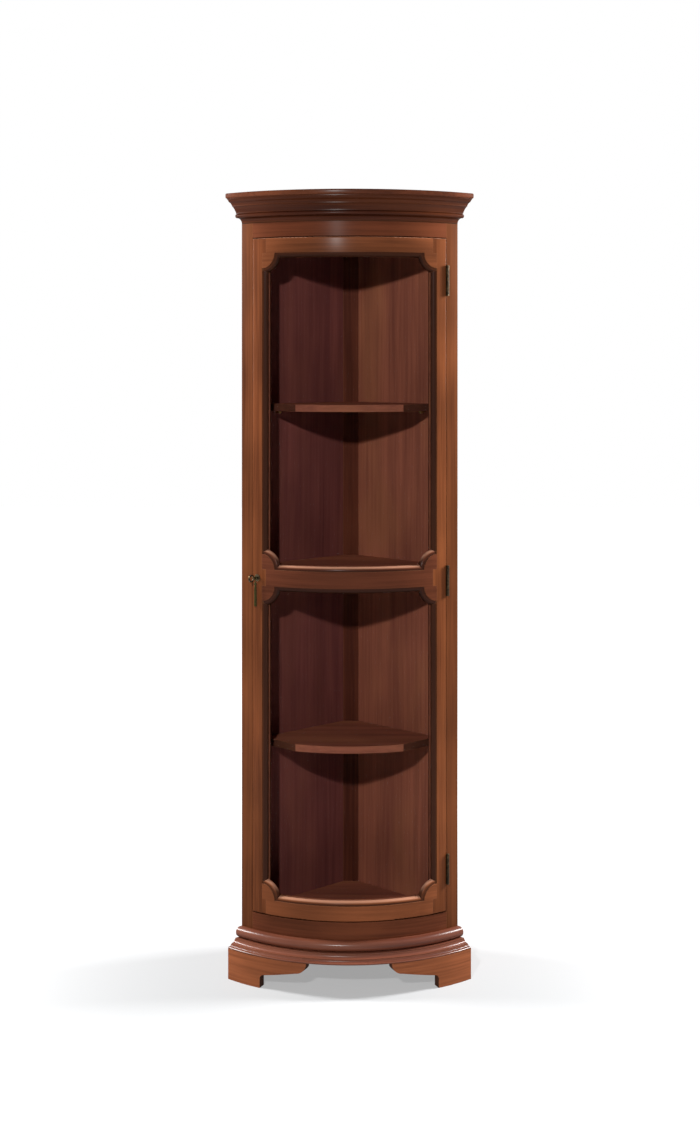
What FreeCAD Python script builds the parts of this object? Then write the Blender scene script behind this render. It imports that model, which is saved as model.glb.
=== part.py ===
"""Bow-fronted corner curio cabinet, a parametric FreeCAD document. Millimetres and degrees, +Z up.

The cabinet stands in the square corner of a room. Every bowed piece is turned about one upright
line, the back corner, so each sub-part is drawn in a frame of its own that starts there: local +X
points out of the room's corner at the sub-part's own bearing, local +Y is to its right. A bearing of
0 is straight forward (-Y), the right wall lies at +45 and the left wall at -45. Places on a wall are
given as a distance along it and a distance in from it.
"""

import FreeCAD, Part
import math
import os
import Sketcher

RIGHT = 1
LEFT = -1
SIDE_NAMES = ((LEFT, "left"), (RIGHT, "right"))
WALL_BEARING = 45  # a room's corner is square, so each wall lies half of 90 degrees off the front
OVERCUT = 1  # how far a cutting tool runs past the face that it opens
EAR_PROUD = 0.5  # how far an ear's disc stands out before the bowed face trims it
HEAD_TUCK = 50  # degrees below level at which the tassel's round head meets its skirt

SIZES = {
    # carcass
    "case_radius": 390,
    "front_thickness": 25,
    "case_height": 1855,
    "post_width": 40,
    "post_depth": 38,
    "post_lap": 12,
    "panel_thickness": 12,
    "corner_face": 41,
    "corner_lap": 12,
    "sill_height": 43.5,
    "frieze_height": 99,
    # base
    "foot_height": 77,
    "foot_thickness": 24,
    "foot_length": 236,
    "foot_toe": 107,
    "foot_cove": 12,
    "foot_step": 34,
    "foot_nose": 27,
    "plinth_thickness": 18,
    "plinth_toe": 95,
    "plinth_arch": 34,
    "plinth_cove": 20,
    "base_reach": 46,
    "base_torus": 13,
    "base_land": 7,
    "base_fillet": 5,
    "base_fillet_reach": 22,
    "base_cove": 12,
    "base_edge": 5,
    # cornice
    "cornice_cavetto": 14,
    "cornice_bead": 4.5,
    "cornice_neck": 7,
    "cornice_step": 3,
    "cornice_cove": 26,
    "cornice_lip": 4,
    "cornice_lip_height": 3,
    "cap_overhang": 55,
    "cap_thickness": 13,
    "cap_edge": 4,
    # boards and shelves, each level being the upper face above the floor
    "board_thickness": 18,
    "middle_level": 1046,
    "upper_shelf_level": 1458,
    "lower_shelf_level": 600,
    "shelf_setback": 15,
    "shelf_end": 136,
    "shelf_clearance": 1,
    "cleat_side": 16,
    "cleat_gap": 20,
    "peg_radius": 2.5,
    "peg_collar": 4,
    "peg_inset": 9,
    "peg_reach": 12,
    "peg_setback": 49,
    # door
    "door_gap": 2.4,
    "door_proud": 3,
    "door_thickness": 22,
    "door_edge": 3,
    "stile_width": 31,
    "top_rail_width": 50,
    "middle_rail_width": 66,
    "bottom_rail_width": 50,
    "middle_rail_level": 988,
    "rebate_depth": 10,
    "rebate_width": 8,
    "ear_radius": 38,
    "sight_moulding": 12,
    "sight_quirk": 1.5,
    "sight_round": 9.5,
    "glass_thickness": 4,
    "glass_clearance": 1,
    # hinges
    "hinge_height": 76,
    "hinge_leaf": 1.5,
    "hinge_leaf_depth": 19,
    "hinge_slack": 0.1,
    "hinge_barrel": 3.5,
    "hinge_clearance": 0.5,
    "hinge_pin": 1.6,
    "hinge_inset": 107,
    "hinge_rise": 22,
    # lock, key and tassel
    "key_level": 1019,
    "running_fit": 0.08,
    "lock_front": 7,
    "lock_thickness": 8,
    "lock_height": 50,
    "lock_wall": 5,
    "lock_edge_inset": 0.4,
    "bolt_thickness": 4,
    "bolt_height": 12,
    "bolt_length": 7,
    "bolt_tail": 3,
    "bolt_throw": 8,
    "strike_thickness": 1,
    "key_shaft": 2.4,
    "key_length": 28,
    "key_bow": 8,
    "key_wire": 1.7,
    "key_bit": 5.5,
    "keyhole_plate": 9,
    "keyhole_plate_thickness": 1.2,
    "tassel_cord": 0.9,
    "tassel_slack": 0.3,
    "tassel_head": 4,
    "tassel_shoulder": 14,
    "tassel_skirt": 4.8,
    "tassel_length": 68,
}


class Size:
    """A number that remembers its formula in the sheet's words, so that a property can be bound to it."""

    def __init__(self, value, words=None):
        self.value = float(value)
        self.words = words or repr(float(value))

    def __add__(self, other):
        other = as_size(other)
        return Size(self.value + other.value, f"({self.words} + {other.words})")

    def __sub__(self, other):
        other = as_size(other)
        return Size(self.value - other.value, f"({self.words} - {other.words})")

    def __mul__(self, other):
        other = as_size(other)
        return Size(self.value * other.value, f"({self.words} * {other.words})")

    def __truediv__(self, other):
        other = as_size(other)
        return Size(self.value / other.value, f"({self.words} / {other.words})")

    def __neg__(self):
        return Size(-self.value, f"(0 - {self.words})")

    def __rmul__(self, other):
        return as_size(other) * self

    def __radd__(self, other):
        return as_size(other) + self

    def __rsub__(self, other):
        return as_size(other) - self


def as_size(number):
    """Take a plain number as a size."""
    return number if isinstance(number, Size) else Size(number)


def cosine(degrees):
    """Cosine of an angle in degrees."""
    degrees = as_size(degrees)
    return Size(math.cos(math.radians(degrees.value)), f"cos({degrees.words})")


def sine(degrees):
    """Sine of an angle in degrees."""
    degrees = as_size(degrees)
    return Size(math.sin(math.radians(degrees.value)), f"sin({degrees.words})")


def root(number):
    """Square root."""
    return Size(math.sqrt(number.value), f"sqrt({number.words})")


def arc_degrees(length, radius):
    """Angle in degrees that a length takes along a circle."""
    return length / radius * (180 / math.pi)


document = FreeCAD.newDocument("CornerCabinet")
sheet = document.addObject("Spreadsheet::Sheet", "Sizes")
for row, (word, amount) in enumerate(SIZES.items(), start=1):
    sheet.set(f"A{row}", str(amount))
    sheet.setAlias(f"A{row}", word)
document.recompute()
S = {word: Size(amount, f"Sizes.{word}") for word, amount in SIZES.items()}
pieces = {}

# --------------------------------------------------------------------------------------------------
# Places that several sub-parts share
# --------------------------------------------------------------------------------------------------
HALF_ROOT = math.sqrt(0.5)
corner_y = (S["case_radius"] + S["cap_overhang"]) / 2
case_inner = S["case_radius"] - S["front_thickness"]
base_height = S["base_edge"] + S["base_cove"] + S["base_fillet"] + S["base_torus"] * 2
case_low = S["foot_height"] + base_height
case_top = case_low + S["case_height"]
sill_top = case_low + S["sill_height"]
frieze_low = case_top - S["frieze_height"]
post_angle = arc_degrees(S["post_width"], S["case_radius"])
rail_half = WALL_BEARING - post_angle
panel_end = S["case_radius"] - S["post_depth"]
corner_depth = S["corner_face"] / 2 + S["panel_thickness"] * math.sqrt(2)
corner_lap_end = corner_depth * math.sqrt(2) - S["panel_thickness"]
panel_start = corner_lap_end - S["corner_lap"]

door_outer = S["case_radius"] + S["door_proud"]
door_inner = door_outer - S["door_thickness"]
rebate_face = door_inner + S["rebate_depth"]
door_low = sill_top + S["door_gap"]
door_high = frieze_low - S["door_gap"]
gap_angle = arc_degrees(S["door_gap"], S["case_radius"])
door_half = rail_half - gap_angle
flat_angle = arc_degrees(S["stile_width"], door_outer)
moulding_angle = arc_degrees(S["sight_moulding"], door_outer)
stile_angle = flat_angle + moulding_angle
flat_half = door_half - flat_angle
sight_half = door_half - stile_angle
strip_radius = door_outer - S["sight_quirk"]
rebate_angle = arc_degrees(S["rebate_width"], door_outer)
middle_low = S["middle_rail_level"]
middle_high = middle_low + S["middle_rail_width"]
lower_light = (door_low + S["bottom_rail_width"], middle_low)
upper_light = (middle_high, door_high - S["top_rail_width"])

hinge_bearing = rail_half - gap_angle / 2
hinge_radius = door_outer + S["hinge_barrel"] + S["hinge_clearance"]
hinge_back = door_outer - S["hinge_leaf_depth"]
key_bearing = -(door_half - flat_angle / 2)

shelf_radius = door_inner - S["shelf_setback"]
shelf_reach = root(shelf_radius * shelf_radius - S["shelf_end"] * S["shelf_end"])


# --------------------------------------------------------------------------------------------------
# Drawing helpers
# --------------------------------------------------------------------------------------------------
def bind(thing, name, size):
    """Bind one property of an object to a size."""
    thing.setExpression(name, as_size(size).words)


def place(thing, bearing, level=0):
    """Set a sub-part's frame: at the back corner, turned to its bearing, raised to its level."""
    turn = as_size(bearing) - 90
    spin = FreeCAD.Rotation(FreeCAD.Vector(0, 0, 1), turn.value)
    base = FreeCAD.Vector(0, corner_y.value, as_size(level).value)
    thing.Placement = FreeCAD.Placement(base, spin)
    bind(thing, "Placement.Base.y", corner_y)
    bind(thing, "Placement.Base.z", level)
    bind(thing, "Placement.Rotation.Angle", turn)
    return thing


def origin_plane(body, role):
    """One of a body's three own planes, found by its role."""
    return next(plane for plane in body.Origin.OriginFeatures if plane.Role == role)


def arc(centre_x, centre_y, radius, end_x, end_y, clockwise=False):
    """Outline step: a round stretch about a centre, ending at a point."""
    return {
        "centre": (as_size(centre_x), as_size(centre_y)),
        "radius": as_size(radius),
        "end": (as_size(end_x), as_size(end_y)),
        "clockwise": clockwise,
    }


def line(end_x, end_y):
    """Outline step: a straight stretch, ending at a point."""
    return {"centre": None, "end": (as_size(end_x), as_size(end_y))}


def vector(point):
    """A sketch point from two sizes."""
    return FreeCAD.Vector(point[0].value, point[1].value, 0)


def swept_arc(start, step):
    """The arc of a sketch that a round step describes."""
    centre = vector(step["centre"])
    first = vector(start) - centre
    last = vector(step["end"]) - centre
    angles = [math.atan2(first.y, first.x), math.atan2(last.y, last.x)]
    if step["clockwise"]:
        angles.reverse()
    if angles[1] <= angles[0]:
        angles[1] += 2 * math.pi
    circle = Part.Circle(centre, FreeCAD.Vector(0, 0, 1), step["radius"].value)
    return Part.ArcOfCircle(circle, *angles)


def outline_sketch(body, name, role, steps, offset=None):
    """Draw a closed outline on one of the body's own planes, with every corner and centre bound to its size.

    The outline starts where its last step ends. A corner between two straight stretches is bound both
    ways. A corner on a round stretch lies on that circle already, so it is bound only one way, across
    the circle.
    """
    sketch = body.newObject("Sketcher::SketchObject", name)
    sketch.AttachmentSupport = [(origin_plane(body, role), "")]
    sketch.MapMode = "FlatFace"
    if offset is not None:
        bind(sketch, "AttachmentOffset.Base.z", offset)
    starts = [steps[-1]["end"]] + [step["end"] for step in steps[:-1]]
    for start, step in zip(starts, steps):
        if step["centre"] is None:
            sketch.addGeometry(Part.LineSegment(vector(start), vector(step["end"])))
        else:
            sketch.addGeometry(swept_arc(start, step))

    def end_of(index, last):
        """Which point of a stretch is its end (or its start) in the outline's own order."""
        backwards = steps[index].get("clockwise", False)
        return 2 if last != backwards else 1

    def datum(kind, *where, size):
        """Add one bound dimension."""
        number = sketch.addConstraint(Sketcher.Constraint(kind, *where, size.value))
        sketch.setExpression(f"Constraints[{number}]", size.words)

    for index, step in enumerate(steps):
        following = (index + 1) % len(steps)
        joint = (index, end_of(index, True), following, end_of(following, False))
        sketch.addConstraint(Sketcher.Constraint("Coincident", *joint))
        round_steps = [near for near in (step, steps[following]) if near["centre"] is not None]
        across = along = True
        if round_steps:
            spoke = vector(step["end"]) - vector(round_steps[0]["centre"])
            across = abs(spoke.x) < abs(spoke.y)
            along = not across
        if across:
            datum("DistanceX", -1, 1, index, end_of(index, True), size=step["end"][0])
        if along:
            datum("DistanceY", -1, 1, index, end_of(index, True), size=step["end"][1])
        if step["centre"] is not None:
            datum("DistanceX", -1, 1, index, 3, size=step["centre"][0])
            datum("DistanceY", -1, 1, index, 3, size=step["centre"][1])
            if steps[index - 1]["centre"] is None:
                datum("Radius", index, size=step["radius"])
    return sketch


def new_body(name):
    """An empty body."""
    return document.addObject("PartDesign::Body", name)


def turned(name, steps, bearing, half_angle):
    """A profile in (radius, height), turned about the back corner to both sides of its bearing."""
    body = new_body(name)
    sketch = outline_sketch(body, name + "_profile", "XZ_Plane", steps)
    turn = body.newObject("PartDesign::Revolution", name + "_turn")
    turn.Profile = sketch
    turn.ReferenceAxis = (sketch, ["V_Axis"])
    turn.Midplane = True
    bind(turn, "Angle", as_size(half_angle) * 2)
    return place(body, bearing)


def raised(name, steps, bearing, low, height):
    """A plan outline, raised from one level by a height."""
    body = new_body(name)
    sketch = outline_sketch(body, name + "_plan", "XY_Plane", steps)
    pad = body.newObject("PartDesign::Pad", name + "_pad")
    pad.Profile = sketch
    bind(pad, "Length", height)
    return place(body, bearing, low)


def block(name, bearing, near, far, sides, levels):
    """A plain block in a frame at a bearing, between two radii, two sideways places and two levels."""
    box = document.addObject("Part::Box", name)
    bind(box, "Length", as_size(far) - near)
    bind(box, "Width", as_size(sides[1]) - sides[0])
    bind(box, "Height", as_size(levels[1]) - levels[0])
    return shifted(box, bearing, near, sides[0], levels[0])


def shifted(thing, bearing, forward, sideways, level):
    """Place a plain solid in a frame at a bearing, moved forward, sideways and up in that frame."""
    turn = as_size(bearing) - 90
    forward = as_size(forward)
    sideways = as_size(sideways)
    base_x = forward * cosine(turn) - sideways * sine(turn)
    base_y = corner_y + forward * sine(turn) + sideways * cosine(turn)
    spin = FreeCAD.Rotation(FreeCAD.Vector(0, 0, 1), turn.value)
    base = FreeCAD.Vector(base_x.value, base_y.value, as_size(level).value)
    thing.Placement = FreeCAD.Placement(base, spin)
    bind(thing, "Placement.Base.x", base_x)
    bind(thing, "Placement.Base.y", base_y)
    bind(thing, "Placement.Base.z", level)
    bind(thing, "Placement.Rotation.Angle", turn)
    return thing


def rod(name, bearing, near, far, radius, level, sideways=0):
    """A round rod that points out along its bearing."""
    body = new_body(name)
    sketch = circle_sketch(body, name + "_round", "YZ_Plane", (sideways, level), [radius], near)
    pad = body.newObject("PartDesign::Pad", name + "_pad")
    pad.Profile = sketch
    bind(pad, "Length", as_size(far) - near)
    return place(body, bearing)


def circle_sketch(body, name, role, centre, radii, offset=None):
    """Circles about one centre on one of the body's own planes, with the centre and every radius bound."""
    sketch = body.newObject("Sketcher::SketchObject", name)
    sketch.AttachmentSupport = [(origin_plane(body, role), "")]
    sketch.MapMode = "FlatFace"
    if offset is not None:
        bind(sketch, "AttachmentOffset.Base.z", offset)
    centre = (as_size(centre[0]), as_size(centre[1]))
    for index, radius in enumerate(radii):
        radius = as_size(radius)
        sketch.addGeometry(Part.Circle(vector(centre), FreeCAD.Vector(0, 0, 1), radius.value))
        across = ("DistanceX", (-1, 1, index, 3), centre[0])
        along = ("DistanceY", (-1, 1, index, 3), centre[1])
        for kind, where, size in (across, along, ("Radius", (index,), radius)):
            number = sketch.addConstraint(Sketcher.Constraint(kind, *where, size.value))
            sketch.setExpression(f"Constraints[{number}]", size.words)
    return sketch


def joined(name, things):
    """Several solids glued into one."""
    fuse = document.addObject("Part::MultiFuse", name)
    fuse.Shapes = things
    return fuse


def cut(name, base, tools):
    """A solid with several tools taken out of it."""
    tool = tools[0] if len(tools) == 1 else joined(name + "_tools", tools)
    result = document.addObject("Part::Cut", name)
    result.Base = base
    result.Tool = tool
    return result


def keep(node, thing):
    """Name a finished sub-part and list it for export."""
    thing.Label = node
    pieces[node] = thing
    return thing


def polar(radius, angle):
    """A plan point at a radius and an angle from local +X."""
    return as_size(radius) * cosine(angle), as_size(radius) * sine(angle)


def wall_point(along, inward, side):
    """A plan point in the forward frame, from its distance along a wall and its distance in from it."""
    along = as_size(along)
    inward = as_size(inward)
    return (along + inward) * HALF_ROOT, (along - inward) * (HALF_ROOT * side)


def front_profile(inner, outer, low, high, low_corner=(), high_corner=()):
    """A rectangle in (radius, height) whose two front corners may be worked; a square corner has no steps."""
    return [
        line(inner, low),
        *(low_corner or [line(outer, low)]),
        *(high_corner or [line(outer, high)]),
        line(inner, high),
    ]


def round_corner(outer, level, radius, upper):
    """Steps round a front corner, upwards: from the underside to the face, or from the face to the top."""
    centre_x = outer - radius
    if upper:
        return [line(outer, level - radius), arc(centre_x, level - radius, radius, centre_x, level)]
    return [line(centre_x, level), arc(centre_x, level + radius, radius, outer, level + radius)]


def moulded_corner(level, upper):
    """Steps over the sight moulding on a rail's edge, upwards: flat face, quirk, strip and ovolo."""
    width = -S["sight_moulding"] if upper else S["sight_moulding"]
    flat_edge = line(door_outer, level + width)
    strip_edge = line(strip_radius, level + width)
    ovolo = round_corner(strip_radius, level, S["sight_round"], upper)
    return [flat_edge, strip_edge, *ovolo] if upper else [*ovolo, strip_edge, flat_edge]


# --------------------------------------------------------------------------------------------------
# Carcass: posts, wall panels, rails, boards
# --------------------------------------------------------------------------------------------------
def front_post(side):
    """Bowed front post in the wall's frame: it laps the panel's end and slopes back from the door's edge."""
    inward = -side
    outer_x, outer_y = polar(S["case_radius"], post_angle)
    inner_x, inner_y = polar(case_inner, post_angle)
    steps = [
        line(panel_end, 0),
        line(S["case_radius"], 0),
        arc(0, 0, S["case_radius"], outer_x, outer_y * inward, clockwise=side == RIGHT),
        line(inner_x, inner_y * inward),
        line(panel_end - S["post_lap"], S["panel_thickness"] * inward),
        line(panel_end, S["panel_thickness"] * inward),
    ]
    name = "LeftPostBlank" if side == LEFT else "RightPostBlank"
    return raised(name, steps, WALL_BEARING * side, S["foot_height"], case_top - S["foot_height"])


def hinge_recess(name, side, level):
    """The shallow bed that a hinge leaf is let into: +1 in the post's edge, -1 in the door's edge."""
    sides = (S["hinge_slack"], S["hinge_slack"] + S["hinge_leaf"])
    if side == LEFT:
        sides = (-sides[1], -sides[0])
    half = S["hinge_height"] / 2
    return block(name, hinge_bearing, hinge_back, hinge_radius, sides, (level - half, level + half))


HINGE_LEVELS = (
    ("low", door_low + S["hinge_inset"]),
    ("middle", middle_low + S["hinge_rise"]),
    ("high", door_high - S["hinge_inset"]),
)

lock_far = door_outer - S["lock_front"]
lock_near = lock_far - S["lock_thickness"]
bolt_near = lock_near + (S["lock_thickness"] - S["bolt_thickness"]) / 2
bolt_far = bolt_near + S["bolt_thickness"]
key_level = S["key_level"]
door_edge_side = -(lock_near * sine(flat_angle / 2) - S["lock_edge_inset"])
lock_inner = lock_near * sine(flat_angle / 2 + moulding_angle - rebate_angle) - S["lock_wall"]
post_edge_angle = flat_angle / 2 + gap_angle
tail_low = key_level + S["key_bit"] + S["running_fit"] * 2
tail_high = tail_low + S["bolt_tail"]
bolt_low = tail_high - S["bolt_height"]


def bolt_box(name, sides, levels, slack):
    """A block as thick as the bolt in the lock's frame, larger all round by a slack."""
    return block(
        name,
        key_bearing,
        bolt_near - slack,
        bolt_far + slack,
        (sides[0] - slack, sides[1] + slack),
        (levels[0] - slack, levels[1] + slack),
    )


mouth_sides = (door_edge_side - S["bolt_throw"] - S["door_gap"] * 2, door_edge_side)
strike_mouth = bolt_box("StrikeMouth", mouth_sides, (bolt_low, tail_high), S["lock_edge_inset"])
keep("left_post", cut("LeftPost", front_post(LEFT), [strike_mouth]))
post_beds = [hinge_recess(f"PostBed_{name}", RIGHT, level) for name, level in HINGE_LEVELS]
keep("right_post", cut("RightPost", front_post(RIGHT), post_beds))

corner_steps = [line(0, 0)]
for corner_side in (LEFT, RIGHT):
    wall_points = [
        wall_point(panel_start, 0, corner_side),
        wall_point(panel_start, S["panel_thickness"], corner_side),
        (corner_depth, S["corner_face"] / 2 * corner_side),
    ]
    if corner_side == RIGHT:
        wall_points.reverse()
    corner_steps += [line(*point) for point in wall_points]
keep(
    "corner_post",
    raised("CornerPost", corner_steps, 0, S["foot_height"], case_top - S["foot_height"]),
)


def peg(name, side, along, level, radius, start, end):
    """A round peg square to a wall: its ends are distances in from the wall."""
    body = new_body(name)
    # the body's XZ plane faces along local -Y, which is inward at the right wall and outward at the left one
    offset = as_size(start) if side == RIGHT else -as_size(start)
    sketch = circle_sketch(body, name + "_round", "XZ_Plane", (along, level), [radius], offset)
    pad = body.newObject("PartDesign::Pad", name + "_pad")
    pad.Profile = sketch
    pad.Reversed = side == LEFT
    bind(pad, "Length", as_size(end) - start)
    return place(body, WALL_BEARING * side)


SHELVES = (("lower", S["lower_shelf_level"]), ("upper", S["upper_shelf_level"]))
PEG_PLACES = (("back", corner_lap_end + S["peg_setback"]), ("front", shelf_reach - S["peg_setback"]))
shelf_pegs = []
for peg_side, side_name in SIDE_NAMES:
    bores = []
    wall = "Left" if peg_side == LEFT else "Right"
    for shelf_name, shelf_level in SHELVES:
        for place_name, along_wall in PEG_PLACES:
            peg_level = shelf_level - S["board_thickness"] - S["peg_collar"]
            peg_name = f"{wall}Peg_{shelf_name}_{place_name}"
            deep = S["panel_thickness"] - S["peg_inset"]
            face = S["panel_thickness"]
            tip = face + S["peg_reach"]
            where = (peg_side, along_wall, peg_level)
            shank = peg(peg_name + "_shank", *where, S["peg_radius"], deep, face)
            collar = peg(peg_name + "_collar", *where, S["peg_collar"], face, tip)
            shelf_pegs.append(joined(peg_name, [shank, collar]))
            bores.append(peg(peg_name + "_bore", *where, S["peg_radius"], deep, face))
    inner_side = (-S["panel_thickness"], 0) if peg_side == RIGHT else (0, S["panel_thickness"])
    panel = block(
        wall + "PanelBlank",
        WALL_BEARING * peg_side,
        panel_start,
        panel_end,
        inner_side,
        (S["foot_height"], case_top),
    )
    keep(f"{side_name}_wall_panel", cut(wall + "Panel", panel, bores))
peg_group = document.addObject("Part::Compound", "ShelfPegs")
peg_group.Links = shelf_pegs
keep("shelf_pegs", peg_group)

keep(
    "sill_rail",
    turned(
        "SillRail",
        front_profile(case_inner, S["case_radius"], S["foot_height"], sill_top),
        0,
        rail_half,
    ),
)
keep(
    "frieze_rail",
    turned(
        "FriezeRail",
        front_profile(case_inner, S["case_radius"], frieze_low, case_top),
        0,
        rail_half,
    ),
)


def fixed_board(node, name, low):
    """A board that fills the plan of the case: corner post, wall panels, front posts and the bowed front."""
    outer_x, outer_y = polar(case_inner, rail_half)
    lap_right = wall_point(panel_end - S["post_lap"], S["panel_thickness"], RIGHT)
    lap_left = wall_point(panel_end - S["post_lap"], S["panel_thickness"], LEFT)
    steps = [
        line(corner_depth, -S["corner_face"] / 2),
        line(*lap_left),
        line(outer_x, -outer_y),
        arc(0, 0, case_inner, outer_x, outer_y),
        line(*lap_right),
        line(corner_depth, S["corner_face"] / 2),
    ]
    keep(node, raised(name, steps, 0, low, S["board_thickness"]))


fixed_board("bottom_board", "BottomBoard", sill_top - S["board_thickness"])
fixed_board("middle_board", "MiddleBoard", S["middle_level"] - S["board_thickness"])
fixed_board("top_board", "TopBoard", frieze_low)


def loose_shelf(node, name, level):
    """A shelf on pegs: its ends come square off each wall and its middle is bowed like the door."""
    inward = S["panel_thickness"] + S["shelf_clearance"]
    back_x = corner_depth + S["shelf_clearance"]
    back_y = back_x - inward * math.sqrt(2)
    front = wall_point(shelf_reach, S["shelf_end"], RIGHT)
    side_end = wall_point(shelf_reach, inward, RIGHT)
    steps = [
        line(back_x, -back_y),
        line(side_end[0], -side_end[1]),
        line(front[0], -front[1]),
        arc(0, 0, shelf_radius, *front),
        line(*side_end),
        line(back_x, back_y),
    ]
    keep(node, raised(name, steps, 0, level - S["board_thickness"], S["board_thickness"]))


loose_shelf("upper_shelf", "UpperShelf", S["upper_shelf_level"])
loose_shelf("lower_shelf", "LowerShelf", S["lower_shelf_level"])

CLEAT_LEVELS = (
    ("bottom", sill_top - S["board_thickness"] - S["cleat_side"]),
    ("middle", S["middle_level"] - S["board_thickness"] - S["cleat_side"]),
    ("top", frieze_low + S["board_thickness"]),
)
for cleat_side, side_name in SIDE_NAMES:
    for board_name, cleat_low in CLEAT_LEVELS:
        near_wall = S["panel_thickness"]
        far_wall = near_wall + S["cleat_side"]
        cleat = block(
            f"Cleat_{board_name}_{side_name}",
            WALL_BEARING * cleat_side,
            corner_lap_end + S["cleat_gap"],
            panel_end - S["post_lap"] - S["cleat_gap"],
            (-far_wall, -near_wall) if cleat_side == RIGHT else (near_wall, far_wall),
            (cleat_low, cleat_low + S["cleat_side"]),
        )
        keep(f"{board_name}_cleat_{side_name}", cleat)

# --------------------------------------------------------------------------------------------------
# Cornice and base mouldings
# --------------------------------------------------------------------------------------------------
cornice_rise = S["cornice_cavetto"] + S["cornice_bead"] * 2 + S["cornice_neck"] + S["cornice_step"]
cornice_low = case_top - cornice_rise - S["cornice_cove"] - S["cornice_lip_height"]
bead_reach = S["case_radius"] + S["cornice_cavetto"]
bead_low = cornice_low + S["cornice_cavetto"]
bead_high = bead_low + S["cornice_bead"] * 2
neck_high = bead_high + S["cornice_neck"]
cove_start = bead_reach + S["cornice_step"] * 2
cove_low = neck_high + S["cornice_step"]
cove_end = cove_start + S["cornice_cove"]
cove_high = cove_low + S["cornice_cove"]
cornice_steps = [
    line(S["case_radius"], cornice_low),
    arc(bead_reach, cornice_low, S["cornice_cavetto"], bead_reach, bead_low, clockwise=True),
    line(bead_reach + S["cornice_step"], bead_low),
    arc(
        bead_reach + S["cornice_step"],
        bead_low + S["cornice_bead"],
        S["cornice_bead"],
        bead_reach + S["cornice_step"],
        bead_high,
    ),
    line(bead_reach, bead_high),
    line(bead_reach, neck_high),
    line(cove_start, neck_high),
    line(cove_start, cove_low),
    arc(cove_end, cove_low, S["cornice_cove"], cove_end, cove_high, clockwise=True),
    line(cove_end + S["cornice_lip"], cove_high),
    line(cove_end + S["cornice_lip"], case_top),
    line(S["case_radius"], case_top),
]
keep("cornice_moulding", turned("Cornice", cornice_steps, 0, WALL_BEARING))

cap_radius = S["case_radius"] + S["cap_overhang"]
cap_high = case_top + S["cap_thickness"]
cap_low_edge = round_corner(cap_radius, case_top, S["cap_edge"], False)
cap_high_edge = round_corner(cap_radius, cap_high, S["cap_edge"], True)
cap_steps = front_profile(0, cap_radius, case_top, cap_high, cap_low_edge, cap_high_edge)
keep("top_cap", turned("TopCap", cap_steps, 0, WALL_BEARING))

base_radius = S["case_radius"] + S["base_reach"]
torus_centre = S["case_radius"] + S["base_land"]
torus_low = case_low - S["base_torus"] * 2
fillet_radius = S["case_radius"] + S["base_fillet_reach"]
fillet_low = torus_low - S["base_fillet"]
cove_foot = fillet_low - S["base_cove"]
base_steps = [
    line(S["case_radius"], S["foot_height"]),
    line(base_radius, S["foot_height"]),
    arc(
        base_radius - S["base_edge"],
        S["foot_height"],
        S["base_edge"],
        base_radius - S["base_edge"],
        S["foot_height"] + S["base_edge"],
    ),
    line(fillet_radius + S["base_cove"], cove_foot),
    arc(
        fillet_radius + S["base_cove"],
        fillet_low,
        S["base_cove"],
        fillet_radius,
        fillet_low,
        clockwise=True,
    ),
    line(fillet_radius, torus_low),
    line(torus_centre, torus_low),
    arc(torus_centre, case_low - S["base_torus"], S["base_torus"], torus_centre, case_low),
    line(S["case_radius"], case_low),
]
keep("base_moulding", turned("BaseMoulding", base_steps, 0, WALL_BEARING))

# --------------------------------------------------------------------------------------------------
# Feet and plinth
# --------------------------------------------------------------------------------------------------
foot_inner = base_radius - S["foot_thickness"]
foot_angle = arc_degrees(S["foot_length"], base_radius)
toe_angle = arc_degrees(S["foot_toe"], base_radius)
saw_angle = (foot_angle + toe_angle) / 2


def bracket_foot(node, side):
    """A bowed bracket foot, sawn from the front: toe, cove, sloping underside and a rounded nose."""
    name = "LeftFoot" if side == LEFT else "RightFoot"
    profile = front_profile(foot_inner, base_radius, as_size(0), S["foot_height"])
    half = foot_angle / 2
    blank = turned(name + "Blank", profile, (WALL_BEARING - half) * side, half)
    toe = -(base_radius * sine(saw_angle - toe_angle))
    tip = base_radius * sine(foot_angle - saw_angle) - OVERCUT
    inward = -side
    nose_x = tip - S["foot_nose"]
    mirrored = side == RIGHT
    steps = [
        line(toe * inward, -OVERCUT),
        line(toe * inward, S["foot_step"] - S["foot_cove"]),
        arc(
            (toe + S["foot_cove"]) * inward,
            S["foot_step"] - S["foot_cove"],
            S["foot_cove"],
            (toe + S["foot_cove"]) * inward,
            S["foot_step"],
            clockwise=not mirrored,
        ),
        line(nose_x * inward, S["foot_height"] - S["foot_nose"]),
        arc(
            nose_x * inward,
            S["foot_height"],
            S["foot_nose"],
            tip * inward,
            S["foot_height"],
            clockwise=mirrored,
        ),
        line(tip * inward, S["foot_height"] + OVERCUT),
        line((tip + S["foot_thickness"]) * inward, S["foot_height"] + OVERCUT),
        line((tip + S["foot_thickness"]) * inward, -OVERCUT),
    ]
    saw = new_body(name + "Saw")
    sketch = outline_sketch(saw, name + "_saw_line", "YZ_Plane", steps, foot_inner / 2)
    pad = saw.newObject("PartDesign::Pad", name + "_saw")
    pad.Profile = sketch
    bind(pad, "Length", base_radius)
    place(saw, (WALL_BEARING - saw_angle) * side)
    keep(node, cut(name, blank, [saw]))


bracket_foot("left_foot", LEFT)
bracket_foot("right_foot", RIGHT)


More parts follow.
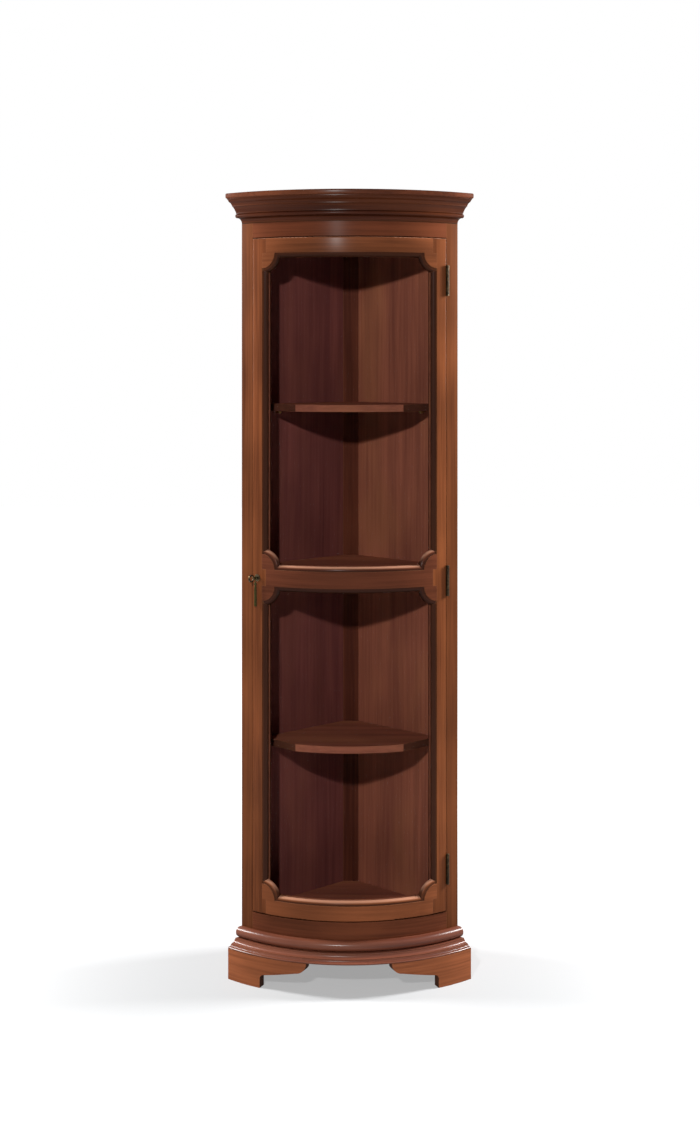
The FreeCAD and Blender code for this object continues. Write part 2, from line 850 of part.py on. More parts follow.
def side_plinth(node, side):
    """A plinth board along a wall, arched underneath between its two toes."""
    name = "LeftPlinth" if side == LEFT else "RightPlinth"
    start = S["plinth_thickness"] if side == LEFT else as_size(0)
    thickness = S["plinth_thickness"]
    end = root(foot_inner * foot_inner - thickness * thickness)
    arch_start = S["plinth_toe"]
    arch_end = end - S["plinth_toe"]
    cove = S["plinth_cove"]
    top = S["foot_height"]
    body = new_body(name)
    steps = [
        line(start, 0),
        line(arch_start, 0),
        line(arch_start, S["plinth_arch"] - cove),
        arc(
            arch_start + cove,
            S["plinth_arch"] - cove,
            cove,
            arch_start + cove,
            S["plinth_arch"],
            clockwise=True,
        ),
        line(arch_end - cove, S["plinth_arch"]),
        arc(
            arch_end - cove,
            S["plinth_arch"] - cove,
            cove,
            arch_end,
            S["plinth_arch"] - cove,
            clockwise=True,
        ),
        line(arch_end, 0),
        line(end, 0),
        line(end, top),
        line(start, top),
    ]
    sketch = outline_sketch(body, name + "_side", "XZ_Plane", steps)
    pad = body.newObject("PartDesign::Pad", name + "_pad")
    pad.Profile = sketch
    pad.Reversed = side == LEFT
    bind(pad, "Length", S["plinth_thickness"])
    keep(node, place(body, WALL_BEARING * side))


side_plinth("left_plinth", LEFT)
side_plinth("right_plinth", RIGHT)


# --------------------------------------------------------------------------------------------------
# Door frame and glass
# --------------------------------------------------------------------------------------------------
ear_lean = arc_degrees(S["ear_radius"] / 2, door_outer)


def ear_disc(name, side, level, radius, front):
    """A disc about the corner where a rail's flat face meets a stile's: its axis leans to suit the bow."""
    body = new_body(name)
    centre = (door_outer * sine(ear_lean) * side, level)
    back = rebate_face - OVERCUT * 2
    sketch = circle_sketch(body, name + "_round", "YZ_Plane", centre, [radius], back)
    pad = body.newObject("PartDesign::Pad", name + "_pad")
    pad.Profile = sketch
    bind(pad, "Length", front + EAR_PROUD - back)
    return place(body, (flat_half - ear_lean) * side)


def round_over(disc, radius):
    """Round the front edge of a disc."""
    document.recompute()
    pad = disc.Tip
    edges = pad.Shape.Edges
    front = max(range(len(edges)), key=lambda index: edges[index].BoundBox.XMin)
    fillet = disc.newObject("PartDesign::Fillet", disc.Name + "_edge")
    fillet.Base = (pad, [f"Edge{front + 1}"])
    bind(fillet, "Radius", radius)
    return disc


def rail_ears(name, level, upward):
    """The ears on one edge of a rail: quarter discs of its flat face, with the sight moulding round them."""
    ears = []
    for word, radius, outer in (
        ("Flat", S["ear_radius"], door_outer),
        ("Rim", S["ear_radius"] + S["sight_moulding"], strip_radius),
    ):
        reach = radius + OVERCUT
        levels = (level, level + reach) if upward else (level - reach, level)
        blank = turned(f"{name}{word}Blank", front_profile(rebate_face, outer, *levels), 0, flat_half)
        discs = []
        for side, side_name in SIDE_NAMES:
            disc = ear_disc(f"{name}{word}_{side_name}", side, level, radius, outer)
            discs.append(round_over(disc, S["sight_round"]) if word == "Rim" else disc)
        ear = document.addObject("Part::Common", name + word)
        ear.Base = blank
        ear.Tool = joined(f"{name}{word}Discs", discs)
        ears.append(ear)
    return ears


def door_rail(node, name, low, high, ears_below, ears_above):
    """A bowed rail: a face between the stiles, a tongue that fills their rebates, and its ears."""
    if ears_below:
        low_corner = moulded_corner(low, False)
        below = rail_ears(name + "EarBelow", low + S["sight_moulding"], False)
    else:
        low_corner = round_corner(door_outer, low, S["door_edge"], False)
        below = []
    if ears_above:
        high_corner = moulded_corner(high, True)
        above = rail_ears(name + "EarAbove", high - S["sight_moulding"], True)
    else:
        high_corner = round_corner(door_outer, high, S["door_edge"], True)
        above = []
    profile = front_profile(rebate_face, door_outer, low, high, low_corner, high_corner)
    face = turned(name + "Face", profile, 0, sight_half)
    tongue_low = low + S["rebate_width"] if ears_below else low
    tongue_high = high - S["rebate_width"] if ears_above else high
    tongue_profile = front_profile(door_inner, rebate_face, tongue_low, tongue_high)
    tongue = turned(name + "Tongue", tongue_profile, 0, sight_half + rebate_angle)
    keep(node, joined(name, [face, tongue, *below, *above]))
    return below + above


ears = door_rail("door_top_rail", "DoorTopRail", upper_light[1], door_high, True, False)
ears += door_rail("door_middle_rail", "DoorMiddleRail", middle_low, middle_high, True, True)
ears += door_rail("door_bottom_rail", "DoorBottomRail", door_low, lower_light[0], False, True)


def end_round(name, level, upward):
    """The waste outside the round of the door's top or bottom edge, which a stile's end loses."""
    turn = 1 if upward else -1
    radius = S["door_edge"]
    centre = (door_outer - radius, level - radius * turn)
    steps = [
        line(door_outer + OVERCUT, centre[1]),
        line(door_outer + OVERCUT, level + OVERCUT * turn),
        line(centre[0], level + OVERCUT * turn),
        line(centre[0], level),
        arc(*centre, radius, door_outer, centre[1], clockwise=upward),
    ]
    return turned(name, steps, 0, WALL_BEARING)


stile_ends = [end_round("StileEndsHigh", door_high, True), end_round("StileEndsLow", door_low, False)]


def door_stile(side):
    """A door stile in the frame of its sight line, rebated for the glass and rounded at its outer edge."""
    name = "DoorLeftStile" if side == LEFT else "DoorRightStile"
    edge_centre = door_outer - S["door_edge"]
    edge_angle = arc_degrees(S["door_edge"], edge_centre)
    round_x, round_y = polar(door_outer, stile_angle - edge_angle)
    centre_x, centre_y = polar(edge_centre, stile_angle - edge_angle)
    side_x, side_y = polar(edge_centre, stile_angle)
    back_x, back_y = polar(door_inner, stile_angle)
    rebate_back_x, rebate_back_y = polar(door_inner, rebate_angle)
    rebate_front_x, rebate_front_y = polar(rebate_face, rebate_angle)
    outward_turn = side == LEFT
    steps = [
        line(door_outer, 0),
        arc(0, 0, door_outer, round_x, round_y * side, clockwise=outward_turn),
        arc(centre_x, centre_y * side, S["door_edge"], side_x, side_y * side, clockwise=outward_turn),
        line(back_x, back_y * side),
        arc(0, 0, door_inner, rebate_back_x, rebate_back_y * side, clockwise=not outward_turn),
        line(rebate_front_x, rebate_front_y * side),
        arc(0, 0, rebate_face, rebate_face, 0, clockwise=not outward_turn),
    ]
    blank = raised(name + "Blank", steps, sight_half * side, door_low, door_high - door_low)
    ovolo_x = strip_radius - S["sight_round"]
    ovolo_y = S["sight_round"] * side
    flat_y = S["sight_moulding"] * side
    tools = []
    for light_name, (light_low, light_high) in (("lower", lower_light), ("upper", upper_light)):
        tool_steps = [
            line(ovolo_x, -side * OVERCUT),
            line(door_outer + OVERCUT, -side * OVERCUT),
            line(door_outer + OVERCUT, flat_y),
            line(strip_radius, flat_y),
            line(strip_radius, ovolo_y),
            arc(ovolo_x, ovolo_y, S["sight_round"], ovolo_x, 0, clockwise=side == RIGHT),
        ]
        start = light_low - S["sight_moulding"]
        length = light_high + S["sight_moulding"] - start
        tools.append(raised(f"{name}Mould_{light_name}", tool_steps, sight_half * side, start, length))
    return name, blank, tools + ears + stile_ends


left_name, left_blank, left_tools = door_stile(LEFT)
lock_levels = (key_level - S["lock_height"] / 2, key_level + S["lock_height"] / 2)
mortise_sides = (door_edge_side - S["door_gap"], lock_inner)
mortise = block("LockMortise", key_bearing, lock_near, lock_far, mortise_sides, lock_levels)
keyhole_radius = S["key_shaft"] + S["running_fit"]
keyhole = rod("KeyholeBore", key_bearing, lock_far - OVERCUT, door_outer + OVERCUT, keyhole_radius, key_level)
keep("door_left_stile", cut(left_name, left_blank, left_tools + [mortise, keyhole]))

right_name, right_blank, right_tools = door_stile(RIGHT)
door_beds = [hinge_recess(f"DoorBed_{name}", LEFT, level) for name, level in HINGE_LEVELS]
keep("door_right_stile", cut(right_name, right_blank, right_tools + door_beds))

glass_far = rebate_face
glass_near = glass_far - S["glass_thickness"]
glass_half = sight_half + rebate_angle - arc_degrees(S["glass_clearance"], door_outer)
for light_name, (light_low, light_high) in (("lower", lower_light), ("upper", upper_light)):
    title = light_name.capitalize()
    pane_low = light_low - S["rebate_width"] + S["glass_clearance"]
    pane_high = light_high + S["rebate_width"] - S["glass_clearance"]
    pane = turned(
        title + "Glass",
        front_profile(glass_near, glass_far, pane_low, pane_high),
        0,
        glass_half,
    )
    keep(f"{light_name}_glass", pane)
    rebate_low = light_low - S["rebate_width"]
    rebate_high = light_high + S["rebate_width"]
    bead_blank = turned(
        title + "BeadBlank",
        front_profile(door_inner, glass_near, rebate_low, rebate_high),
        0,
        sight_half + rebate_angle,
    )
    bead_hole = turned(
        title + "BeadHole",
        front_profile(door_inner - OVERCUT, glass_near + OVERCUT, light_low, light_high),
        0,
        sight_half,
    )
    keep(f"{light_name}_glass_bead", cut(title + "Bead", bead_blank, [bead_hole]))

# --------------------------------------------------------------------------------------------------
# Hinges: two leaves with interlaced knuckles on a pin
# --------------------------------------------------------------------------------------------------
knuckle_gap = S["hinge_slack"] * 2
knuckle_height = (S["hinge_height"] - knuckle_gap * 2) / 3


def cylinder_piece(name, radius, low, height):
    """A round upright piece on the hinge's own line."""
    piece = document.addObject("Part::Cylinder", name)
    bind(piece, "Radius", radius)
    bind(piece, "Height", height)
    return shifted(piece, hinge_bearing, hinge_radius, 0, low)


def hinge_leaf(node, name, side, level, knuckles):
    """A leaf let into the wood, with a tab to each of its knuckles, bored for the pin."""
    low = level - S["hinge_height"] / 2
    thickness = (S["hinge_slack"], S["hinge_slack"] + S["hinge_leaf"])
    if side == LEFT:
        thickness = (-thickness[1], -thickness[0])
    plate_far = hinge_radius - S["hinge_barrel"] - S["hinge_slack"] * 2
    solids = [
        block(
            name + "Plate",
            hinge_bearing,
            hinge_back,
            plate_far,
            thickness,
            (low, low + S["hinge_height"]),
        )
    ]
    for number in knuckles:
        knuckle_low = low + (knuckle_height + knuckle_gap) * number
        knuckle = f"{name}Knuckle{number}"
        solids.append(cylinder_piece(knuckle, S["hinge_barrel"], knuckle_low, knuckle_height))
        solids.append(
            block(
                f"{name}Tab{number}",
                hinge_bearing,
                plate_far,
                hinge_radius,
                thickness,
                (knuckle_low, knuckle_low + knuckle_height),
            )
        )
    bore = cylinder_piece(
        name + "Bore",
        S["hinge_pin"] + S["running_fit"],
        low - OVERCUT,
        S["hinge_height"] + OVERCUT * 2,
    )
    keep(node, cut(name, joined(name + "Solid", solids), [bore]))


for hinge_name, hinge_level in HINGE_LEVELS:
    title = hinge_name.capitalize()
    hinge_leaf(f"{hinge_name}_hinge_case_leaf", title + "CaseLeaf", RIGHT, hinge_level, (0, 2))
    hinge_leaf(f"{hinge_name}_hinge_door_leaf", title + "DoorLeaf", LEFT, hinge_level, (1,))
    pin_low = hinge_level - S["hinge_height"] / 2
    hinge_pin = cylinder_piece(title + "PinRod", S["hinge_pin"], pin_low, S["hinge_height"])
    pin_head = cylinder_piece(
        title + "PinHead",
        S["hinge_barrel"],
        pin_low + S["hinge_height"],
        S["hinge_leaf"],
    )
    keep(f"{hinge_name}_hinge_pin", joined(title + "Pin", [hinge_pin, pin_head]))

# --------------------------------------------------------------------------------------------------
# Lock, bolt, keyhole plate, key and tassel, in the frame of the key
# --------------------------------------------------------------------------------------------------
head_sides = (door_edge_side, door_edge_side + S["bolt_length"])
tail_sides = (door_edge_side, lock_inner - S["running_fit"] * 2)
bolt_parts = (("Head", head_sides, (bolt_low, tail_high)), ("Tail", tail_sides, (tail_low, tail_high)))
lock_cuts = [bolt_box("BoltWay" + part, *room, S["running_fit"]) for part, *room in bolt_parts]
lock_cuts.append(
    rod(
        "BitRoom",
        key_bearing,
        bolt_near - S["running_fit"],
        bolt_far + S["running_fit"],
        S["key_bit"] + S["running_fit"] * 2,
        key_level,
    )
)
lock_cuts.append(rod("KeyWay", key_bearing, bolt_far, lock_far + OVERCUT, keyhole_radius, key_level))
lock_sides = (door_edge_side, lock_inner)
lock_blank = block("LockBlank", key_bearing, lock_near, lock_far, lock_sides, lock_levels)
keep("lock_case", cut("LockCase", lock_blank, lock_cuts))
bolt_solids = [bolt_box("Bolt" + part, *room, as_size(0)) for part, *room in bolt_parts]
keep("lock_bolt", joined("LockBolt", bolt_solids))

strike_near = bolt_near - S["bolt_thickness"] / 2
strike_far = bolt_far + S["bolt_thickness"] / 2
strike_blank = block(
    "StrikeBlank",
    key_bearing - post_edge_angle,
    strike_near,
    strike_far,
    (0, S["strike_thickness"]),
    (bolt_low - S["bolt_height"] / 2, tail_high + S["bolt_height"] / 2),
)
keep("strike_plate", cut("StrikePlate", strike_blank, [strike_mouth]))

plate_front = door_outer + S["keyhole_plate_thickness"]
plate = rod("KeyholePlateDisc", key_bearing, door_outer, plate_front, S["keyhole_plate"], key_level)
hole_ends = (door_outer - OVERCUT, plate_front + OVERCUT)
plate_hole = rod("KeyholePlateHole", key_bearing, *hole_ends, keyhole_radius, key_level)
keep("keyhole_plate", cut("KeyholePlate", plate, [plate_hole]))

bow_near = bolt_near + S["key_length"]
bow_centre = bow_near + S["key_bow"]


def ring(name, role, centre, radius, half_width, offset=None):
    """A flat ring in one of the key's own planes, as thick as it is wide."""
    body = new_body(name)
    radii = [radius + half_width, radius - half_width]
    sketch = circle_sketch(body, name + "_rounds", role, centre, radii, offset)
    pad = body.newObject("PartDesign::Pad", name + "_pad")
    pad.Profile = sketch
    pad.Midplane = True
    bind(pad, "Length", half_width * 2)
    return place(body, key_bearing)


shaft = rod("KeyShaft", key_bearing, bolt_near, bow_near, S["key_shaft"], key_level)
bit = block(
    "KeyBit",
    key_bearing,
    bolt_near,
    bolt_far,
    (-S["key_wire"] / 2, S["key_wire"] / 2),
    (key_level - S["key_bit"], key_level),
)
bow = ring("KeyBow", "XZ_Plane", (bow_centre, key_level), S["key_bow"], S["key_wire"])
keep("key", joined("Key", [shaft, bit, bow]))

tassel_place = (plate_front + bow_near - S["key_wire"]) / 2
loop_radius = S["key_shaft"] + S["tassel_cord"] + S["tassel_slack"]
loop = ring("TasselLoop", "YZ_Plane", (0, key_level), loop_radius, S["tassel_cord"], tassel_place)
head = S["tassel_head"]
waist = (head * cosine(HEAD_TUCK), -(head + head * sine(HEAD_TUCK)))
tassel_steps = [
    line(0, 0),
    arc(0, -head, head, *waist, clockwise=True),
    line(S["tassel_skirt"], -S["tassel_shoulder"]),
    line(S["tassel_skirt"], -S["tassel_length"]),
    line(0, -S["tassel_length"]),
]
skirt = new_body("TasselSkirt")
skirt_sketch = outline_sketch(skirt, "TasselSkirt_profile", "XZ_Plane", tassel_steps)
skirt_turn = skirt.newObject("PartDesign::Revolution", "TasselSkirt_turn")
skirt_turn.Profile = skirt_sketch
skirt_turn.ReferenceAxis = (skirt_sketch, ["V_Axis"])
skirt_turn.Angle = 360
shifted(skirt, key_bearing, tassel_place, 0, key_level - loop_radius)
keep("tassel", joined("Tassel", [loop, skirt]))

# --------------------------------------------------------------------------------------------------
# Check every object and every sub-part, then write the sub-parts
# --------------------------------------------------------------------------------------------------
document.recompute()
for thing in document.Objects:
    for state in thing.State:
        if state in ("Invalid", "Error"):
            raise RuntimeError(f"{thing.Label} is {state}")
for node, piece in pieces.items():
    if piece.Shape.isNull() or not piece.Shape.isValid() or piece.Shape.Volume <= 0:
        raise RuntimeError(f"{node} has no valid solid")

os.makedirs("parts", exist_ok=True)
for node, piece in pieces.items():
    piece.Shape.exportStep(os.path.join("parts", f"{node}.step"))
print(f"{len(pieces)} sub-parts written")
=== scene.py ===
"""Looks of the bow-fronted corner curio cabinet: its woods, glass, brass and thread, and its studio."""

import logging
import math
from dataclasses import dataclass, replace
from enum import Enum
from functools import cache

import bmesh
import bpy
import numpy as np
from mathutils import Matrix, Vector


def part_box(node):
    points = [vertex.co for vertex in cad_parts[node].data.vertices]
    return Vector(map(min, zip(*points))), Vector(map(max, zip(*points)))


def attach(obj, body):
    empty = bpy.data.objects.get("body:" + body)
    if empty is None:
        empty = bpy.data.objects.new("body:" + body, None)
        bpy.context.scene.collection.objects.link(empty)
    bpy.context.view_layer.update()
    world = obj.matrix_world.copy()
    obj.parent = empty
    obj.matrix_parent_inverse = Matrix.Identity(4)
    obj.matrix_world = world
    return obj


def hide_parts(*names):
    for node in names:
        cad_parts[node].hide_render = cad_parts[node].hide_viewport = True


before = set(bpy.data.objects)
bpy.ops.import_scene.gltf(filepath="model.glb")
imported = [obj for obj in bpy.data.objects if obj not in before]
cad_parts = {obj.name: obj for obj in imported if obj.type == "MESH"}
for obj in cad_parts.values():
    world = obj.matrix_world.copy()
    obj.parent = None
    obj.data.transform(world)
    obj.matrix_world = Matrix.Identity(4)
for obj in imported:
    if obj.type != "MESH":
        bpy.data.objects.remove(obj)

LOG = logging.getLogger("cabinet")
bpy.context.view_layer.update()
IMAGE_WIDTH = 700
IMAGE_HEIGHT = 1132
Triple = tuple[float, float, float]
Colour = Triple

# Lengths are in metres and angles in degrees, unless a name or docstring says otherwise. Every bowed piece
# is turned about the room's corner, which is the upright line at x = 0 and y = CORNER_Y.
CORNER_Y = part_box("top_cap")[1].y
DOOR_FACE = CORNER_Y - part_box("door_middle_rail")[0].y
BOW_RADIUS = 0.4
HALF_ROOT = math.sqrt(0.5)
UPWARD = np.array([0.0, 0.0, 1.0])
# Millimetres to a metre, for the sections and the tassel's outline.
MILLIMETRES = 1000
# Angle that an edge turns by to stay sharp in the shading, and how near points lie that are made one.
SHARP_ANGLE = 32.0
MERGE_DISTANCE = 1e-7
WELD_DISTANCE = 1e-6


def bowed(radius: np.ndarray, bearing: np.ndarray, height: np.ndarray) -> np.ndarray:
    """Points at a radius from the room's corner and a bearing from straight forward.

    Formula: x = radius * sin(bearing), y = corner - radius * cos(bearing), z = height.

    Args:
        radius: Distances from the corner's upright line.
        bearing: Angles in degrees, 0 straight forward and positive to the right.
        height: Heights above the floor.

    Returns:
        An array whose last axis is x, y, z.
    """
    radius, bearing, height = np.broadcast_arrays(radius, np.radians(bearing), height)
    return np.stack([radius * np.sin(bearing), CORNER_Y - radius * np.cos(bearing), height], axis=-1)


def grid_faces(rows: int, columns: int, close_rows: bool, close_columns: bool) -> np.ndarray:
    """Quads that join neighbouring points of a grid stored row by row.

    Args:
        rows: Number of points along the first parameter.
        columns: Number of points along the second parameter.
        close_rows: Whether the last row joins the first.
        close_columns: Whether the last column joins the first.

    Returns:
        An array of four point numbers for each quad.
    """
    first = np.arange(rows if close_rows else rows - 1)[:, None]
    second = np.arange(columns if close_columns else columns - 1)[None, :]
    below = first * columns
    above = (first + 1) % rows * columns
    after = (second + 1) % columns
    return np.stack([below + second, above + second, above + after, below + after], axis=-1).reshape(-1, 4)


def mesh_object(name: str, points: np.ndarray, faces: list[list[int]]) -> bpy.types.Object:
    """A smooth-shaded piece at the origin, with its doubles merged and its faces outwards.

    Args:
        name: The piece's name.
        points: Points, with x, y, z along the last axis.
        faces: Point numbers of each face.

    Returns:
        The piece, in the scene.
    """
    mesh = bpy.data.meshes.new(name)
    mesh.from_pydata(points.reshape(-1, 3).tolist(), [], faces)
    whole = bmesh.new()
    whole.from_mesh(mesh)
    bmesh.ops.remove_doubles(whole, verts=whole.verts, dist=MERGE_DISTANCE)
    bmesh.ops.recalc_face_normals(whole, faces=whole.faces)
    if whole.calc_volume(signed=True) < 0:
        bmesh.ops.reverse_faces(whole, faces=whole.faces)
    whole.to_mesh(mesh)
    whole.free()
    mesh.polygons.foreach_set("use_smooth", np.ones(len(mesh.polygons), dtype=bool))
    mesh.update()
    piece = bpy.data.objects.new(name, mesh)
    bpy.context.scene.collection.objects.link(piece)
    return piece


def soften(piece: bpy.types.Object, angle: float = SHARP_ANGLE) -> bpy.types.Object:
    """Weld a piece's loose corners and split its shading at its sharp edges.

    Args:
        piece: The piece.
        angle: Angle in degrees that a sharp edge turns by or more.

    Returns:
        The same piece.
    """
    weld = piece.modifiers.new("Weld", "WELD")
    weld.merge_threshold = WELD_DISTANCE
    split = piece.modifiers.new("Edges", "EDGE_SPLIT")
    split.split_angle = math.radians(angle)
    return piece


class Tree:
    """A node tree with short calls for adding and joining its nodes.

    Attributes:
        tree: The node tree.
        first_colour: Place of the first colour among a Mix node's inputs.
        second_colour: Place of the second colour among them.
        mixed_colour: Place of the mixed colour among its outputs.
    """

    first_colour = 6
    second_colour = 7
    mixed_colour = 2

    def __init__(self, tree: bpy.types.NodeTree) -> None:
        """Keep the tree."""
        self.tree = tree

    def add(self, kind: str, **settings: object) -> bpy.types.Node:
        """Add a node.

        Args:
            kind: The node's type.
            **settings: Values of its properties.

        Returns:
            The node.
        """
        node = self.tree.nodes.new(kind)
        for name, value in settings.items():
            setattr(node, name, value)
        return node

    def feed(self, socket: bpy.types.NodeSocket, value: object) -> None:
        """Join an output to an input, or set the input to a plain value.

        Args:
            socket: The input.
            value: Another node's output, or a number, vector or colour.
        """
        if isinstance(value, bpy.types.NodeSocket):
            self.tree.links.new(value, socket)
        else:
            socket.default_value = value

    def fill(self, node: bpy.types.Node, *values: object) -> bpy.types.Node:
        """Feed a node's first inputs in order.

        Args:
            node: The node.
            *values: An output or a plain value for each input.

        Returns:
            The same node.
        """
        for socket, value in zip(node.inputs, values):
            self.feed(socket, value)
        return node

    def math(self, operation: str, *values: object, clamp: bool = False) -> bpy.types.NodeSocket:
        """The result of a Math node."""
        node = self.add("ShaderNodeMath", operation=operation, use_clamp=clamp)
        return self.fill(node, *values).outputs[0]

    def vector_math(self, operation: str, *values: object, output: str = "Vector") -> bpy.types.NodeSocket:
        """The result of a Vector Math node."""
        return self.fill(self.add("ShaderNodeVectorMath", operation=operation), *values).outputs[output]

    def parts(self, vector: object) -> tuple[bpy.types.NodeSocket, ...]:
        """The x, y and z of a vector."""
        return tuple(self.fill(self.add("ShaderNodeSeparateXYZ"), vector).outputs)

    def joined(self, *values: object) -> bpy.types.NodeSocket:
        """A vector from its x, y and z."""
        return self.fill(self.add("ShaderNodeCombineXYZ"), *values).outputs[0]

    def place(self) -> bpy.types.NodeSocket:
        """The point in the piece's own frame, so that it stays with a piece that swings."""
        return self.add("ShaderNodeTexCoord").outputs["Object"]

    def normal(self) -> bpy.types.NodeSocket:
        """The surface's normal in the scene's frame."""
        return self.add("ShaderNodeNewGeometry").outputs["Normal"]

    def own_normal(self) -> bpy.types.NodeSocket:
        """The surface's normal in the piece's own frame, so that it stays with a piece that swings.

        Returns:
            The normal.
        """
        turned = self.add(
            "ShaderNodeVectorTransform", vector_type="NORMAL", convert_from="WORLD", convert_to="OBJECT"
        )
        return self.fill(turned, self.normal()).outputs[0]

    def from_corner(self, x: object, y: object) -> tuple[bpy.types.NodeSocket, bpy.types.NodeSocket]:
        """How far a point is from the room's corner.

        Formula: forward = corner - y, radius = sqrt(x * x + forward * forward).

        Args:
            x: The point's place from left to right.
            y: The point's place from front to back.

        Returns:
            The way forward from the corner and the radius about it.
        """
        forward = self.math("SUBTRACT", CORNER_Y, y)
        squares = self.math("ADD", self.math("MULTIPLY", x, x), self.math("MULTIPLY", forward, forward))
        return forward, self.math("SQRT", squares)

    def noise(self, vector: object, scale: object, detail: float, roughness: float = 0.5) -> bpy.types.Node:
        """Add a Noise Texture.

        Args:
            vector: Where it is read.
            scale: Features to a unit of the vector.
            detail: Number of finer octaves.
            roughness: Strength of each octave as a share of the one before.

        Returns:
            The node.
        """
        node = self.add("ShaderNodeTexNoise")
        self.feed(node.inputs["Vector"], vector)
        self.feed(node.inputs["Scale"], scale)
        self.feed(node.inputs["Detail"], detail)
        self.feed(node.inputs["Roughness"], roughness)
        return node

    def spread(
        self, value: object, low: float, high: float, start: float = 0.0, end: float = 1.0
    ) -> bpy.types.NodeSocket:
        """A value stretched along a smooth step.

        Args:
            value: The value.
            low: Value that the step starts at.
            high: Value that the step ends at.
            start: Result at the step's start.
            end: Result at the step's end.

        Returns:
            The result.
        """
        node = self.add("ShaderNodeMapRange", interpolation_type="SMOOTHSTEP")
        return self.fill(node, value, low, high, start, end).outputs[0]

    def mix(self, share: object, first: object, second: object) -> bpy.types.NodeSocket:
        """Two colours mixed by a share.

        Args:
            share: How much there is of the second colour, 0 to 1.
            first: An output or a plain colour.
            second: An output or a plain colour.

        Returns:
            The mixed colour.
        """
        node = self.fill(self.add("ShaderNodeMix", data_type="RGBA"), share)
        for place, value in ((self.first_colour, first), (self.second_colour, second)):
            linked = isinstance(value, bpy.types.NodeSocket)
            self.feed(node.inputs[place], value if linked else (*value, 1.0))
        return node.outputs[self.mixed_colour]

    def bump(self, height: object, strength: float, distance: float) -> bpy.types.Node:
        """Add a Bump node.

        Args:
            height: The relief, 0 to 1.
            strength: How much of the relief shows.
            distance: The relief's full depth.

        Returns:
            The node.
        """
        node = self.add("ShaderNodeBump")
        for name, value in (("Strength", strength), ("Distance", distance), ("Height", height)):
            self.feed(node.inputs[name], value)
        return node

    def group(self, group: bpy.types.NodeTree, **values: object) -> bpy.types.Node:
        """Put a shared group in the tree.

        Args:
            group: The group.
            **values: An output or a plain value for each input, by name.

        Returns:
            The group's node.
        """
        node = self.add("ShaderNodeGroup", node_tree=group)
        for name, value in values.items():
            self.feed(node.inputs[name], value)
        return node


class Kind(Enum):
    """What a group's socket carries."""

    NUMBER = "NodeSocketFloat"
    VECTOR = "NodeSocketVector"
    COLOUR = "NodeSocketColor"


@dataclass(frozen=True)
class Socket:
    """One socket of a shader node group.

    Attributes:
        name: The socket's name.
        kind: What it carries.
        value: Its value where a material gives none.
    """

    name: str
    kind: Kind
    value: object = None


class GroupMaker:
    """Makes a shader node group with named sockets.

    Attributes:
        group: The group.
        tree: Its nodes.
        given: The values that come in.
        result: Where the values go out.
    """

    def __init__(self, name: str, inputs: list[Socket], outputs: list[Socket]) -> None:
        """Make an empty group.

        Args:
            name: The group's name.
            inputs: Sockets that each material sets.
            outputs: Sockets that vary over the surface.
        """
        self.group = bpy.data.node_groups.new(name, "ShaderNodeTree")
        for socket, side in [(item, "INPUT") for item in inputs] + [(item, "OUTPUT") for item in outputs]:
            kind = socket.kind.value
            made = self.group.interface.new_socket(name=socket.name, in_out=side, socket_type=kind)
            if socket.value is not None:
                made.default_value = socket.value
        self.tree = Tree(self.group)
        self.given = self.tree.add("NodeGroupInput").outputs
        self.result = self.tree.add("NodeGroupOutput").inputs

    def give(self, **values: object) -> bpy.types.NodeTree:
        """Feed the group's outputs by name.

        Args:
            **values: An output of a node inside the group for each of the group's outputs.

        Returns:
            The finished group.
        """
        for name, value in values.items():
            self.tree.feed(self.result[name], value)
        return self.group


class Grain(Enum):
    """Which way a piece's grain runs."""

    UPRIGHT = "up the piece"
    BOWED = "along the bow"
    LEFT_WALL = "along the left wall"
    RIGHT_WALL = "along the right wall"
    SIDEWAYS = "from side to side"


# Share of the surface's normal along the grain where end grain starts to show, and where it shows in full.
END_SHARES = (0.5, 0.66)


@cache
def grain_space(grain: Grain) -> bpy.types.NodeTree:
    """Group that gives coordinates in metres with the grain along the first one, and marks end grain.

    The end grain mask grows with the share of the surface's normal that lies along the grain.

    Args:
        grain: The way that the grain runs.

    Returns:
        The group.
    """
    outputs = [Socket("Vector", Kind.VECTOR), Socket("End", Kind.NUMBER)]
    maker = GroupMaker(f"Grain {grain.name}", [], outputs)
    tree = maker.tree
    x, y, z = tree.parts(tree.place())
    if grain is Grain.UPRIGHT:
        along, values = (0.0, 0.0, 1.0), (z, x, y)
    elif grain is Grain.SIDEWAYS:
        along, values = (1.0, 0.0, 0.0), (x, y, z)
    elif grain is Grain.BOWED:
        forward, radius = tree.from_corner(x, y)
        along = tree.joined(forward, x, 0.0)
        values = (tree.math("MULTIPLY", tree.math("ARCTAN2", x, forward), BOW_RADIUS), radius, z)
    else:
        side = -1.0 if grain is Grain.LEFT_WALL else 1.0
        along = (side * HALF_ROOT, -HALF_ROOT, 0.0)
        outward = tree.math("MULTIPLY", x, side)
        values = (
            tree.math("MULTIPLY", tree.math("SUBTRACT", outward, y), HALF_ROOT),
            tree.math("MULTIPLY", tree.math("ADD", outward, y), HALF_ROOT),
            z,
        )
    unit = tree.vector_math("NORMALIZE", along)
    facing = tree.math("ABSOLUTE", tree.vector_math("DOT_PRODUCT", unit, tree.own_normal(), output="Value"))
    return maker.give(Vector=tree.joined(*values), End=tree.spread(facing, *END_SHARES))


# Depth below the face where the painted shade starts and where it is full. The next two lines do the same
# for how far a surface faces upwards, where the painted shade fades away and where the painted rim highlight
# shows.
PAINTED_SHADE_DEPTHS = (0.0004, 0.0018)
SHADE_FADE_SLOPES = (0.0, 0.4)
RIM_HIGHLIGHT_SLOPES = (0.35, 0.8)


